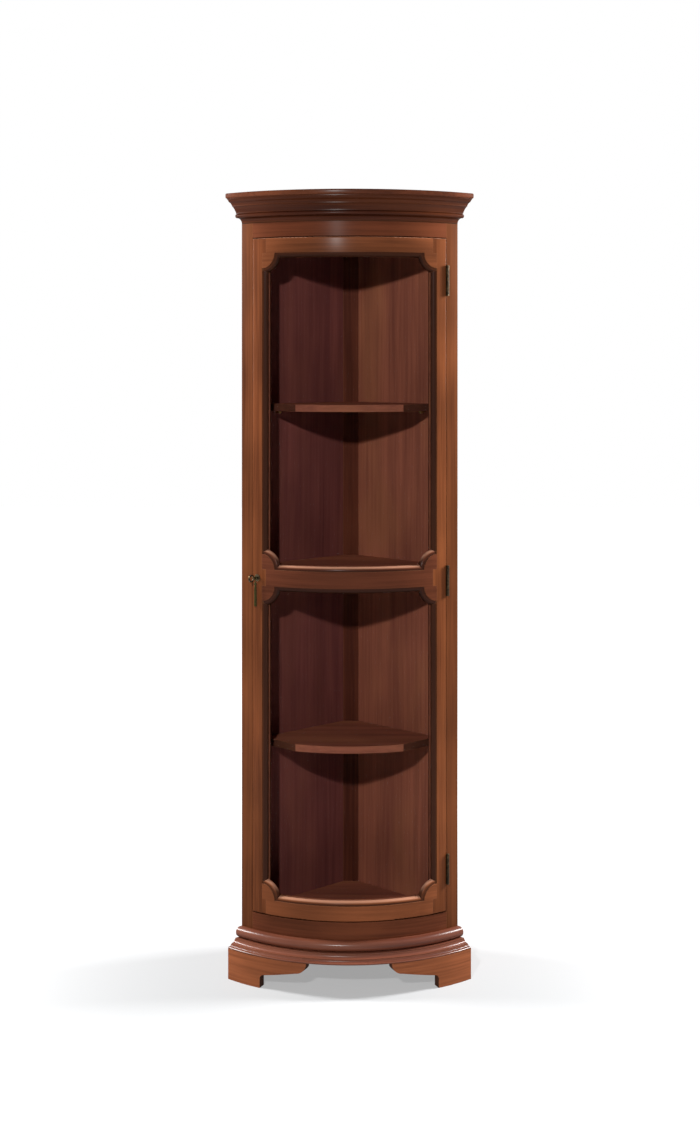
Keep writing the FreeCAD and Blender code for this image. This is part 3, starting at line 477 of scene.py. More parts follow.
@cache
def painted_recess_shade() -> bpy.types.NodeTree:
    """Group that marks painted shade in mouldings sunk below a bowed face, and a painted highlight on their
    rims.

    The shade mask grows with the depth below the face's radius. It fades where the surface faces upwards,
    which is where the rim is, and the highlight mask grows there.

    Returns:
        The group.
    """
    outputs = [Socket("Mask", Kind.NUMBER), Socket("Rim", Kind.NUMBER)]
    maker = GroupMaker("Painted recess shade", [Socket("Face", Kind.NUMBER, BOW_RADIUS)], outputs)
    tree = maker.tree
    x, y, _ = tree.parts(tree.place())
    _, radius = tree.from_corner(x, y)
    sunk = tree.spread(tree.math("SUBTRACT", maker.given["Face"], radius), *PAINTED_SHADE_DEPTHS)
    upward = tree.parts(tree.own_normal())[2]
    # Painted shade stays on faces turned sideways or down and fades on faces turned up, where the painted
    # highlight grows.
    shade_share = tree.math("SUBTRACT", 1.0, tree.spread(upward, *SHADE_FADE_SLOPES))
    return maker.give(
        Mask=tree.math("MULTIPLY", sunk, shade_share),
        Rim=tree.math("MULTIPLY", sunk, tree.spread(upward, *RIM_HIGHLIGHT_SLOPES)),
    )


@dataclass(frozen=True)
class Layer:
    """One layer of a wood's figure: noise that is drawn out along the grain.

    Attributes:
        along: Features to a metre along the grain.
        across: Features to a metre across it.
        detail: Number of finer octaves.
        roughness: Strength of each octave as a share of the one before.
    """

    along: float
    across: float
    detail: float
    roughness: float = 0.5

    def node(self, tree: Tree, place: object) -> bpy.types.Node:
        """The layer's Noise Texture, read at a place whose first coordinate runs along the grain."""
        drawn = tree.vector_math("MULTIPLY", place, (self.along, self.across, self.across))
        return tree.noise(drawn, 1.0, self.detail, self.roughness)


# The figure's layers: the slow wander of the grain, and what is seen on it.
WANDER = Layer(1.4, 5.0, 1.0)
RIBBONS = Layer(1.1, 26.0, 3.0, 0.55)
STREAKS = Layer(3.5, 150.0, 4.0, 0.6)
BLOTCHES = Layer(3.0, 9.0, 2.0)
CLOUDS = Layer(5.0, 11.0, 1.0)
PORES = Layer(26.0, 1500.0, 1.0)
# How far the grain wanders across its run, and how strongly each layer shows.
WANDER_REACH = (0.0, 0.018, 0.018)
STREAK_SHARE = 0.9
WARM_SHARE = 0.45
PORE_SHARE = 0.28
# Where each mask starts and where it is full, in the layer's own grey.
LIGHT_GREYS = (0.18, 0.82)
WARM_GREYS = (0.42, 0.75)
PORE_GREYS = (0.60, 0.70)


@cache
def wood_figure() -> bpy.types.NodeTree:
    """Group with the figure of stained mahogany: broad ribbons, fine streaks and short open pores.

    Light share: 0.5 + contrast * (ribbons + STREAK_SHARE * (streaks - 0.5) - 0.5), through a smooth step.
    Warm blotches and dark pores are mixed over it. The whole is multiplied by 1 + clouds * (cloud - 0.5).

    Returns:
        The group.
    """
    inputs = [
        Socket("Vector", Kind.VECTOR),
        Socket("Light", Kind.COLOUR),
        Socket("Dark", Kind.COLOUR),
        Socket("Warm", Kind.COLOUR),
        Socket("Contrast", Kind.NUMBER, 1.0),
        Socket("Clouds", Kind.NUMBER, 0.0),
    ]
    outputs = [Socket("Color", Kind.COLOUR), Socket("Height", Kind.NUMBER), Socket("Gloss", Kind.NUMBER)]
    maker = GroupMaker("Mahogany figure", inputs, outputs)
    tree = maker.tree
    given = maker.given
    place = given["Vector"]
    wander = WANDER.node(tree, place).outputs["Color"]
    bent = tree.vector_math("MULTIPLY_ADD", wander, WANDER_REACH, place)
    ribbon = RIBBONS.node(tree, bent).outputs["Fac"]
    streak = STREAKS.node(tree, bent).outputs["Fac"]
    blotch = BLOTCHES.node(tree, place).outputs["Fac"]
    cloud = CLOUDS.node(tree, place).outputs["Fac"]
    pore = tree.spread(PORES.node(tree, bent).outputs["Fac"], *PORE_GREYS)
    mixed = tree.math("MULTIPLY_ADD", tree.math("SUBTRACT", streak, 0.5), STREAK_SHARE, ribbon)
    share = tree.math("MULTIPLY_ADD", tree.math("SUBTRACT", mixed, 0.5), given["Contrast"], 0.5, clamp=True)
    body = tree.mix(tree.spread(share, *LIGHT_GREYS), given["Dark"], given["Light"])
    warmth = tree.math("MULTIPLY", tree.spread(blotch, *WARM_GREYS), WARM_SHARE)
    warmed = tree.mix(warmth, body, given["Warm"])
    pored = tree.mix(tree.math("MULTIPLY", pore, PORE_SHARE), warmed, given["Dark"])
    shade = tree.math("MULTIPLY_ADD", tree.math("SUBTRACT", cloud, 0.5), given["Clouds"], 1.0)
    shaded = tree.add("ShaderNodeVectorMath", operation="SCALE")
    tree.feed(shaded.inputs["Vector"], pored)
    tree.feed(shaded.inputs["Scale"], shade)
    return maker.give(
        Color=shaded.outputs["Vector"],
        Height=tree.math("SUBTRACT", 1.0, pore),
        Gloss=tree.math("ADD", tree.math("MULTIPLY", blotch, 0.5), tree.math("MULTIPLY", streak, 0.5)),
    )


# Agreement of the rounded normal with the flat one where an arris starts to look rubbed, and where it is
# bare, and how many places the rounding is read from.
ARRIS_AGREEMENT = (0.995, 0.86)
ARRIS_SAMPLES = 6


@cache
def rounded_edges() -> bpy.types.NodeTree:
    """Group that rounds sharp edges in the shading and marks them, as polish rubbed through on an arris.

    Returns:
        The group.
    """
    outputs = [Socket("Normal", Kind.VECTOR), Socket("Mask", Kind.NUMBER)]
    maker = GroupMaker("Rounded edges", [Socket("Radius", Kind.NUMBER, 0.0012)], outputs)
    tree = maker.tree
    bevel = tree.add("ShaderNodeBevel", samples=ARRIS_SAMPLES)
    tree.feed(bevel.inputs["Radius"], maker.given["Radius"])
    rounded = bevel.outputs["Normal"]
    agreement = tree.vector_math("DOT_PRODUCT", rounded, tree.normal(), output="Value")
    return maker.give(Normal=rounded, Mask=tree.spread(agreement, *ARRIS_AGREEMENT))


# Grey of the noise where polish starts to look dull, and where it is fully dull, and its finer octaves.
DULL_GREYS = (0.35, 0.75)
DULL_DETAIL = 4.0


@cache
def dulled_polish() -> bpy.types.NodeTree:
    """Group that marks where polish has dulled: a soft cloudy mask.

    Returns:
        The group.
    """
    maker = GroupMaker("Dulled polish", [Socket("Scale", Kind.NUMBER, 7.0)], [Socket("Mask", Kind.NUMBER)])
    cloud = maker.tree.noise(maker.tree.place(), maker.given["Scale"], DULL_DETAIL)
    return maker.give(Mask=maker.tree.spread(cloud.outputs["Fac"], *DULL_GREYS))


def new_material(name: str) -> tuple[bpy.types.Material, Tree, bpy.types.Node]:
    """A material with only its Principled shader.

    Args:
        name: The material's name.

    Returns:
        The material, its tree and its shader.
    """
    material = bpy.data.materials.new(name)
    material.use_nodes = True
    return material, Tree(material.node_tree), material.node_tree.nodes["Principled BSDF"]


# Dark colour of end grain, which also serves as the painted shade in sunk mouldings.
END_GRAIN_AND_PAINTED_SHADE: Colour = (0.024, 0.008, 0.005)
# Pale colour of the painted highlight on the upward-facing rims of sunk mouldings.
PAINTED_RIM_HIGHLIGHT: Colour = (0.62, 0.30, 0.19)
WORN: Colour = (0.26, 0.10, 0.045)


@dataclass(frozen=True)
class WoodFinish:
    """A stained and lacquered wood.

    Attributes:
        name: Name of the finish.
        light: Colour of the light ribbons, linear.
        dark: Colour of the dark ribbons and pores, linear.
        warm: Colour of the warm blotches, linear.
        worn: Colour at rubbed edges, linear.
        contrast: Strength of the figure.
        dull: Roughness where the polish is dull.
        bright: Roughness where the polish is bright.
        lacquer: Weight of the clear coat.
        shine: Specular level of the wood under the coat.
        face: Radius of the bowed face whose sunk mouldings get painted shade and rim highlights, or 0 for
            none.
        ends: How dark the end grain is.
        clouds: Strength of the broad light and dark places.
        painted_shade: How dark the painted shade in sunk mouldings is.
        rim: How pale the painted highlight on their upward-facing rims is.
        rubbing: How bare a rubbed edge is.
        uneven: Roughness that the figure adds.
        pores: Strength of the pores' relief.
        pore_depth: Depth of the pores.
        coat_roughness: Roughness of the clear coat.
    """

    name: str
    light: Colour
    dark: Colour
    warm: Colour
    worn: Colour = WORN
    contrast: float = 1.0
    dull: float = 0.46
    bright: float = 0.30
    lacquer: float = 0.12
    shine: float = 0.0
    face: float = 0.0
    ends: float = 0.75
    clouds: float = 0.9
    painted_shade: float = 0.85
    rim: float = 0.75
    rubbing: float = 0.55
    uneven: float = 0.06
    pores: float = 0.12
    pore_depth: float = 0.0003
    coat_roughness: float = 0.25

    def material(self, grain: Grain) -> bpy.types.Material:
        """The finish's material with its grain one way, made once for each way."""
        name = f"{self.name} {grain.name.lower()}"
        return bpy.data.materials.get(name) or self.make(name, grain)

    def make(self, name: str, grain: Grain) -> bpy.types.Material:
        """Make the material.

        Args:
            name: The material's name.
            grain: The way that its grain runs.

        Returns:
            The material.
        """
        material, tree, shader = new_material(name)
        space = tree.group(grain_space(grain)).outputs
        edges = tree.group(rounded_edges()).outputs
        dust = tree.group(dulled_polish()).outputs
        figure = tree.group(
            wood_figure(),
            Vector=space["Vector"],
            Light=(*self.light, 1.0),
            Dark=(*self.dark, 1.0),
            Warm=(*self.warm, 1.0),
            Contrast=self.contrast,
            Clouds=self.clouds,
        ).outputs
        colour = tree.mix(tree.math("MULTIPLY", space["End"], self.ends), figure["Color"], END_GRAIN_AND_PAINTED_SHADE)
        # Painted shade in sunk mouldings, lighter where they face upwards, then a painted highlight on their
        # upward-facing rims.
        if self.face:
            painted_shade = tree.group(painted_recess_shade(), Face=self.face).outputs
            colour = tree.mix(tree.math("MULTIPLY", painted_shade["Mask"], self.painted_shade), colour, END_GRAIN_AND_PAINTED_SHADE)
            colour = tree.mix(tree.math("MULTIPLY", painted_shade["Rim"], self.rim), colour, PAINTED_RIM_HIGHLIGHT)
        colour = tree.mix(tree.math("MULTIPLY", edges["Mask"], self.rubbing), colour, self.worn)
        roughness = tree.math("MULTIPLY_ADD", dust["Mask"], self.dull - self.bright, self.bright)
        roughness = tree.math("MULTIPLY_ADD", figure["Gloss"], self.uneven, roughness)
        bump = tree.bump(figure["Height"], self.pores, self.pore_depth)
        tree.feed(bump.inputs["Normal"], edges["Normal"])
        tree.feed(shader.inputs["Base Color"], colour)
        tree.feed(shader.inputs["Roughness"], roughness)
        tree.feed(shader.inputs["Normal"], bump.outputs[0])
        shader.inputs["Coat Weight"].default_value = self.lacquer
        shader.inputs["Coat Roughness"].default_value = self.coat_roughness
        shader.inputs["Specular IOR Level"].default_value = self.shine
        return material


@dataclass(frozen=True)
class Finish:
    """A finish that looks the same whichever way its piece lies.

    Attributes:
        name: Name of the finish and of its material.
    """

    name: str

    def material(self) -> bpy.types.Material:
        """The finish's material, made once."""
        return bpy.data.materials.get(self.name) or self.make()

    def make(self) -> bpy.types.Material:
        """Make the material."""
        raise NotImplementedError


@dataclass(frozen=True)
class MetalFinish(Finish):
    """A metal with rubbed bright edges and a darker skin.

    Attributes:
        bright: Colour of rubbed metal, linear.
        skin: Colour of the tarnished skin, linear.
        roughness: Roughness of the rubbed metal.
        edge: Radius of its worn edges.
        patches: Rubbed patches to a metre.
        patch_share: How bare a rubbed patch is.
        tarnish: Roughness that the skin adds.
    """

    bright: Colour
    skin: Colour
    roughness: float = 0.3
    edge: float = 0.0005
    patches: float = 160.0
    patch_share: float = 0.6
    tarnish: float = 0.12

    def make(self) -> bpy.types.Material:
        """Make the material.

        Returns:
            The material.
        """
        material, tree, shader = new_material(self.name)
        edges = tree.group(rounded_edges(), Radius=self.edge).outputs
        patch = tree.group(dulled_polish(), Scale=self.patches).outputs["Mask"]
        bare = tree.math("ADD", tree.math("MULTIPLY", patch, self.patch_share), edges["Mask"], clamp=True)
        roughness = tree.math("MULTIPLY_ADD", patch, -self.tarnish, self.roughness + self.tarnish)
        tree.feed(shader.inputs["Base Color"], tree.mix(bare, self.skin, self.bright))
        tree.feed(shader.inputs["Roughness"], roughness)
        tree.feed(shader.inputs["Normal"], edges["Normal"])
        shader.inputs["Metallic"].default_value = 1.0
        return material


@dataclass(frozen=True)
class GlassFinish(Finish):
    """Clear window glass that lets the lamps through.

    Attributes:
        tint: Colour of the glass, linear.
        clear: Colour of what is seen straight through it, linear.
        index: Refractive index.
        mirror: Share of the glass that mirrors where it faces the eye squarely.
        edge_mirror: Further share where it is seen along its face.
        edge_power: How closely that share keeps to the edge.
    """

    tint: Colour = (0.97, 0.985, 0.975)
    clear: Colour = (0.985, 0.99, 0.987)
    index: float = 1.45
    mirror: float = 0.002
    edge_mirror: float = 0.3
    edge_power: float = 3.0

    def make(self) -> bpy.types.Material:
        """Make the material.

        Clear share: 1 - mirror - edge_mirror * facing ** edge_power for the eye, and 1 for shadows and
        bounced light.

        Returns:
            The material.
        """
        material, tree, shader = new_material(self.name)
        shader.inputs["Base Color"].default_value = (*self.tint, 1.0)
        shader.inputs["Roughness"].default_value = 0.0
        shader.inputs["Transmission Weight"].default_value = 1.0
        shader.inputs["IOR"].default_value = self.index
        clear = tree.add("ShaderNodeBsdfTransparent")
        clear.inputs["Color"].default_value = (*self.clear, 1.0)
        path = tree.add("ShaderNodeLightPath").outputs
        lighting = tree.math("MAXIMUM", path["Is Shadow Ray"], path["Is Diffuse Ray"])
        facing = tree.add("ShaderNodeLayerWeight").outputs["Facing"]
        edge = tree.math("POWER", facing, self.edge_power)
        clear_share = tree.math("MULTIPLY_ADD", edge, -self.edge_mirror, 1 - self.mirror)
        share = tree.math("MAXIMUM", lighting, clear_share)
        mixed = tree.fill(tree.add("ShaderNodeMixShader"), share, shader.outputs[0], clear.outputs[0])
        tree.feed(material.node_tree.nodes["Material Output"].inputs["Surface"], mixed.outputs[0])
        return material


@dataclass(frozen=True)
class ThreadFinish(Finish):
    """Twisted thread.

    Attributes:
        light: Colour where the fibres' relief rises, a painted highlight on the strands, linear.
        dark: Colour where the fibres' relief sinks, painted shade between the strands, linear.
        fibres: Fibres to a metre across the thread, the same again, and along it.
        greys: Grey of the noise that gives the dark colour, and that which gives the light one.
        fuzz: Strength of the fibres' relief.
        fibre_depth: Depth of the fibres.
        roughness: Roughness of the thread.
        shine: Specular level of the thread.
    """

    light: Colour
    dark: Colour
    fibres: Triple = (1800.0, 1800.0, 300.0)
    greys: tuple[float, float] = (0.3, 0.7)
    fuzz: float = 0.4
    fibre_depth: float = 0.0003
    roughness: float = 0.8
    shine: float = 0.08

    def make(self) -> bpy.types.Material:
        """Make the material.

        Returns:
            The material.
        """
        material, tree, shader = new_material(self.name)
        drawn = tree.vector_math("MULTIPLY", tree.place(), self.fibres)
        share = tree.spread(tree.noise(drawn, 1.0, 2.0).outputs["Fac"], *self.greys)
        bump = tree.bump(share, self.fuzz, self.fibre_depth)
        # Painted light and shade: the colour follows the fibres' relief, dark where it sinks and light where
        # it rises.
        tree.feed(shader.inputs["Base Color"], tree.mix(share, self.dark, self.light))
        tree.feed(shader.inputs["Normal"], bump.outputs[0])
        shader.inputs["Roughness"].default_value = self.roughness
        shader.inputs["Specular IOR Level"].default_value = self.shine
        return material


STILE_WOOD = WoodFinish(
    "Stile mahogany", (0.200, 0.059, 0.020), (0.100, 0.028, 0.010), (0.245, 0.074, 0.024), face=DOOR_FACE
)
FOOT_WOOD = WoodFinish("Foot mahogany", (0.34, 0.106, 0.043), (0.175, 0.053, 0.022), (0.41, 0.128, 0.049))
POST_WOOD = WoodFinish(
    "Post mahogany", (0.140, 0.043, 0.016), (0.072, 0.021, 0.008), (0.175, 0.054, 0.018), lacquer=0.06
)
RAIL_WOOD = WoodFinish(
    "Rail mahogany",
    (0.225, 0.069, 0.027),
    (0.118, 0.037, 0.015),
    (0.27, 0.082, 0.030),
    lacquer=0.08,
    face=DOOR_FACE,
)
DARK_RAIL_WOOD = WoodFinish(
    "Dark rail mahogany", (0.135, 0.038, 0.018), (0.067, 0.019, 0.009), (0.165, 0.046, 0.019), face=DOOR_FACE
)
PLAIN_RAIL_WOOD = WoodFinish(
    "Plain rail mahogany", (0.138, 0.038, 0.017), (0.066, 0.018, 0.008), (0.180, 0.052, 0.021), lacquer=0.08
)
# Partly painted shade: besides its own darker tone, the cornice's wood is darkened to stand for the shade on
# its downward-facing slants.
CORNICE_WOOD = WoodFinish(
    "Cornice mahogany",
    (0.088, 0.023, 0.009),
    (0.041, 0.010, 0.005),
    (0.105, 0.029, 0.010),
    worn=(0.13, 0.048, 0.02),
    lacquer=0.13,
)
CAP_WOOD = WoodFinish(
    "Cap mahogany", (0.150, 0.043, 0.020), (0.075, 0.022, 0.011), (0.175, 0.053, 0.022), ends=0.1
)
BASE_WOOD = WoodFinish(
    "Base mahogany", (0.19, 0.060, 0.034), (0.095, 0.028, 0.017), (0.22, 0.072, 0.036), lacquer=0.42
)
INNER_WOOD = WoodFinish(
    "Inner mahogany",
    (0.305, 0.098, 0.058),
    (0.163, 0.051, 0.034),
    (0.345, 0.128, 0.060),
    contrast=0.7,
    clouds=0.4,
    dull=0.6,
    bright=0.48,
    lacquer=0.02,
)
# Painted shade: a much darker copy of the inner wood for the corner post, which stands in shade at the back
# of the cabinet.
SHADED_CORNER_WOOD = replace(
    INNER_WOOD,
    name="Corner mahogany with painted shade",
    light=(0.108, 0.029, 0.016),
    dark=(0.046, 0.012, 0.008),
    warm=(0.13, 0.037, 0.018),
)
# Painted shade: a darker, plum copy of the inner wood for the left wall panel, which the lamps light less.
SHADED_PLUM_WOOD = replace(
    INNER_WOOD,
    name="Plum mahogany with painted shade",
    light=(0.190, 0.056, 0.047),
    dark=(0.104, 0.031, 0.029),
    warm=(0.205, 0.066, 0.045),
)
AGED_BRASS = MetalFinish("Aged brass", (0.10, 0.065, 0.03), (0.018, 0.013, 0.009), 0.42)
BRASS = MetalFinish("Polished brass", (0.78, 0.55, 0.22), (0.40, 0.26, 0.10), 0.24)
KEY_BRASS = MetalFinish("Key brass", (0.17, 0.11, 0.045), (0.03, 0.021, 0.012), 0.36)
GLASS = GlassFinish("Window glass")
THREAD = ThreadFinish("Olive thread", (0.085, 0.075, 0.022), (0.022, 0.019, 0.007))


def dress(node: str, material: bpy.types.Material, angle: float = SHARP_ANGLE) -> None:
    """Give a CAD piece its material and smooth shading between its sharp edges.

    Args:
        node: The piece's name.
        material: Its material.
        angle: Angle in degrees that a sharp edge turns by or more.
    """
    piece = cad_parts[node]
    piece.data.materials.clear()
    piece.data.materials.append(material)
    piece.data.polygons.foreach_set("use_smooth", np.ones(len(piece.data.polygons), dtype=bool))
    soften(piece, angle)
    LOG.info("%s: %s", node, material.name)


@dataclass(frozen=True)
class WoodGroup:
    """Wooden pieces that are finished alike.

    Attributes:
        finish: Their finish.
        grain: The way that their grain runs.
        names: Their names.
        angle: Angle in degrees that a sharp edge turns by or more.
    """

    finish: WoodFinish
    grain: Grain
    names: tuple[str, ...]
    angle: float = SHARP_ANGLE


@dataclass
class WoodWork:
    """The wooden pieces that keep their CAD shape.

    Attributes:
        groups: Pieces that are finished alike.
        levels: The boards that have a cleat on each side.
    """

    groups: tuple[WoodGroup, ...] = (
        WoodGroup(POST_WOOD, Grain.UPRIGHT, ("left_post", "right_post")),
        WoodGroup(STILE_WOOD, Grain.UPRIGHT, ("door_left_stile", "door_right_stile")),
        WoodGroup(FOOT_WOOD, Grain.BOWED, ("left_foot", "right_foot")),
        WoodGroup(RAIL_WOOD, Grain.BOWED, ("door_top_rail", "door_bottom_rail")),
        WoodGroup(DARK_RAIL_WOOD, Grain.BOWED, ("door_middle_rail",)),
        WoodGroup(PLAIN_RAIL_WOOD, Grain.BOWED, ("frieze_rail", "sill_rail")),
        WoodGroup(CAP_WOOD, Grain.SIDEWAYS, ("top_cap",)),
        WoodGroup(BASE_WOOD, Grain.LEFT_WALL, ("left_plinth",)),
        WoodGroup(BASE_WOOD, Grain.RIGHT_WALL, ("right_plinth",)),
        WoodGroup(INNER_WOOD, Grain.UPRIGHT, ("right_wall_panel",)),
        WoodGroup(SHADED_PLUM_WOOD, Grain.UPRIGHT, ("left_wall_panel",)),
        WoodGroup(SHADED_CORNER_WOOD, Grain.UPRIGHT, ("corner_post",)),
        WoodGroup(INNER_WOOD, Grain.SIDEWAYS, ("top_board", "middle_board", "bottom_board"), 15.0),
        WoodGroup(INNER_WOOD, Grain.SIDEWAYS, ("upper_shelf", "lower_shelf"), 15.0),
        WoodGroup(INNER_WOOD, Grain.BOWED, ("upper_glass_bead", "lower_glass_bead")),
    )
    levels: tuple[str, ...] = ("bottom", "middle", "top")

    def dress(self) -> None:
        """Give every wooden piece its material."""
        for group in self.groups:
            for name in group.names:
                dress(name, group.finish.material(group.grain), group.angle)
        for side, grain in (("left", Grain.LEFT_WALL), ("right", Grain.RIGHT_WALL)):
            for level in self.levels:
                dress(f"{level}_cleat_{side}", INNER_WOOD.material(grain))


@dataclass
class MetalWork:
    """Hinges, lock, shelf pegs and key.

    Attributes:
        hinge_levels: The hinges.
        hinge_parts: The parts of each hinge.
        bright_names: Pieces of polished brass.
    """

    hinge_levels: tuple[str, ...] = ("low", "middle", "high")
    hinge_parts: tuple[str, ...] = ("case_leaf", "door_leaf", "pin")
    bright_names: tuple[str, ...] = ("lock_case", "lock_bolt", "strike_plate", "shelf_pegs")

    def dress(self) -> None:
        """Give every metal piece its material."""
        for level in self.hinge_levels:
            for part in self.hinge_parts:
                dress(f"{level}_hinge_{part}", AGED_BRASS.material())
        for name in self.bright_names:
            dress(name, BRASS.material())
        dress("key", KEY_BRASS.material())


@dataclass
class Glazing:
    """The door's bowed panes.

    Attributes:
        names: The panes.
    """

    names: tuple[str, ...] = ("upper_glass", "lower_glass")

    def dress(self) -> None:
        """Give both panes their glass."""
        for name in self.names:
            dress(name, GLASS.material())


def arc(middle: tuple[float, float], radius: float, start: float, end: float, steps: int = 9) -> np.ndarray:
    """Points along part of a circle in a section.

    Formula: middle + radius * (cos(angle), sin(angle)), angle from start to end.

    Args:
        middle: The circle's middle.
        radius: The circle's radius.
        start: Angle of the first point, in degrees.
        end: Angle of the last point, in degrees.
        steps: Number of points.

    Returns:
        An array of points.
    """
    angle = np.radians(np.linspace(start, end, steps))
    return np.stack([middle[0] + radius * np.cos(angle), middle[1] + radius * np.sin(angle)], axis=-1)


def slant(
    start: tuple[float, float], end: tuple[float, float], rise: float, waves: float, steps: int = 13
) -> np.ndarray:
    """Points along a gently curved slant in a section.

    Formula: start + t * (end - start), raised by rise * sin(pi * waves * t), t from 0 to 1. One half wave
    makes a single curve, and two make an ogee.

    Args:
        start: The first point.
        end: The last point.
        rise: How far the curve leaves the straight line.
        waves: Number of half waves.
        steps: Number of points.

    Returns:
        An array of points.
    """
    share = np.linspace(0.0, 1.0, steps)[:, None]
    points = np.array(start) + share * (np.array(end) - np.array(start))
    points[:, 1] += rise * np.sin(math.pi * waves * share[:, 0])
    return points


@dataclass
class FineMoulding:
    """A moulding of finer section than its CAD piece, carried round the bow.

    Surface: the section's point with radius r and height z goes to bowed(r, bearing, z), for each bearing
    from -half to half. The section is closed along its back, and flat faces close both ends.

    Attributes:
        node: The CAD piece that it stands for.
        section: Radius and height of each point round the section, in millimetres.
        half: Bearing of its ends, in degrees.
        steps: Number of places along the bow.
    """

    node: str
    section: np.ndarray
    half: float = 45.0
    steps: int = 97

    def build(self, finish: WoodFinish) -> None:
        """Make the moulding in place of its CAD piece.

        Args:
            finish: The moulding's finish.
        """
        radius, height = self.section.T / MILLIMETRES
        bearing = np.linspace(-self.half, self.half, self.steps)[:, None]
        points = bowed(radius[None, :], bearing, height[None, :])
        count = len(radius)
        sides = grid_faces(self.steps, count, False, True).tolist()
        near_end = list(range(count))
        far_end = [number + count * (self.steps - 1) for number in near_end]
        piece = soften(mesh_object(f"fine_{self.node}", points, sides + [near_end[::-1], far_end]))
        piece.data.materials.append(finish.material(Grain.BOWED))
        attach(piece, "case")
        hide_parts(self.node)
        LOG.info("%s: %s", piece.name, finish.name)


# Sections as radius and height in millimetres, from the bottom up the front to the top. The cornice is a
# cavetto, a bead, fillets, a hollow and an ogee. The base is a wide edge, coves and fillets under a torus.
CORNICE_SECTION = np.concatenate(
    [
        arc((404.0, 1918.0), 14.0, 180.0, 90.0),
        [(407.0, 1932.0)],
        arc((407.0, 1937.2), 5.2, -90.0, 90.0),
        [(406.0, 1942.9), (409.8, 1942.9), (409.8, 1945.8)],
        slant((410.2, 1946.4), (421.6, 1960.6), 1.7, 1.0),
        [(423.2, 1960.6), (423.2, 1962.8)],
        slant((423.6, 1963.2), (437.6, 1977.2), 1.3, 2.0),
        [(440.0, 1977.4), (440.0, 1980.0), (390.0, 1980.0)],
    ]
)
BASE_SECTION = np.concatenate(
    [
        [(390.0, 77.0), (434.8, 77.0), (436.0, 78.2), (436.0, 80.0), (434.8, 81.2), (431.0, 81.4)],
        arc((431.0, 86.0), 4.4, -90.0, -180.0, 6),
        [(424.4, 86.0), (424.4, 88.2), (421.6, 88.4)],
        arc((421.6, 95.4), 7.0, -90.0, -180.0, 7),
        [(412.4, 95.4), (412.4, 98.6), (397.0, 99.0)],
        arc((397.0, 112.0), 13.0, -84.0, 90.0, 20),
        [(390.0, 125.0)],
    ]
)

# Share of the way down, radius in millimetres and strength of the grooves, from the cord to the tips.
TASSEL_STEPS = np.array(
    [
        (0.0, 0.0, 0.0),
        (0.001, 0.8, 0.0),
        (0.10, 0.8, 0.0),
        (0.115, 1.6, 0.4),
        (0.135, 2.7, 0.5),
        (0.165, 3.1, 0.5),
        (0.195, 2.8, 0.5),
        (0.215, 2.1, 0.3),
        (0.25, 2.1, 0.3),
        (0.27, 2.7, 1.0),
        (0.40, 3.1, 1.0),
        (0.75, 3.3, 1.0),
        (0.999, 3.5, 1.0),
        (1.0, 0.0, 0.0),
    ]
)


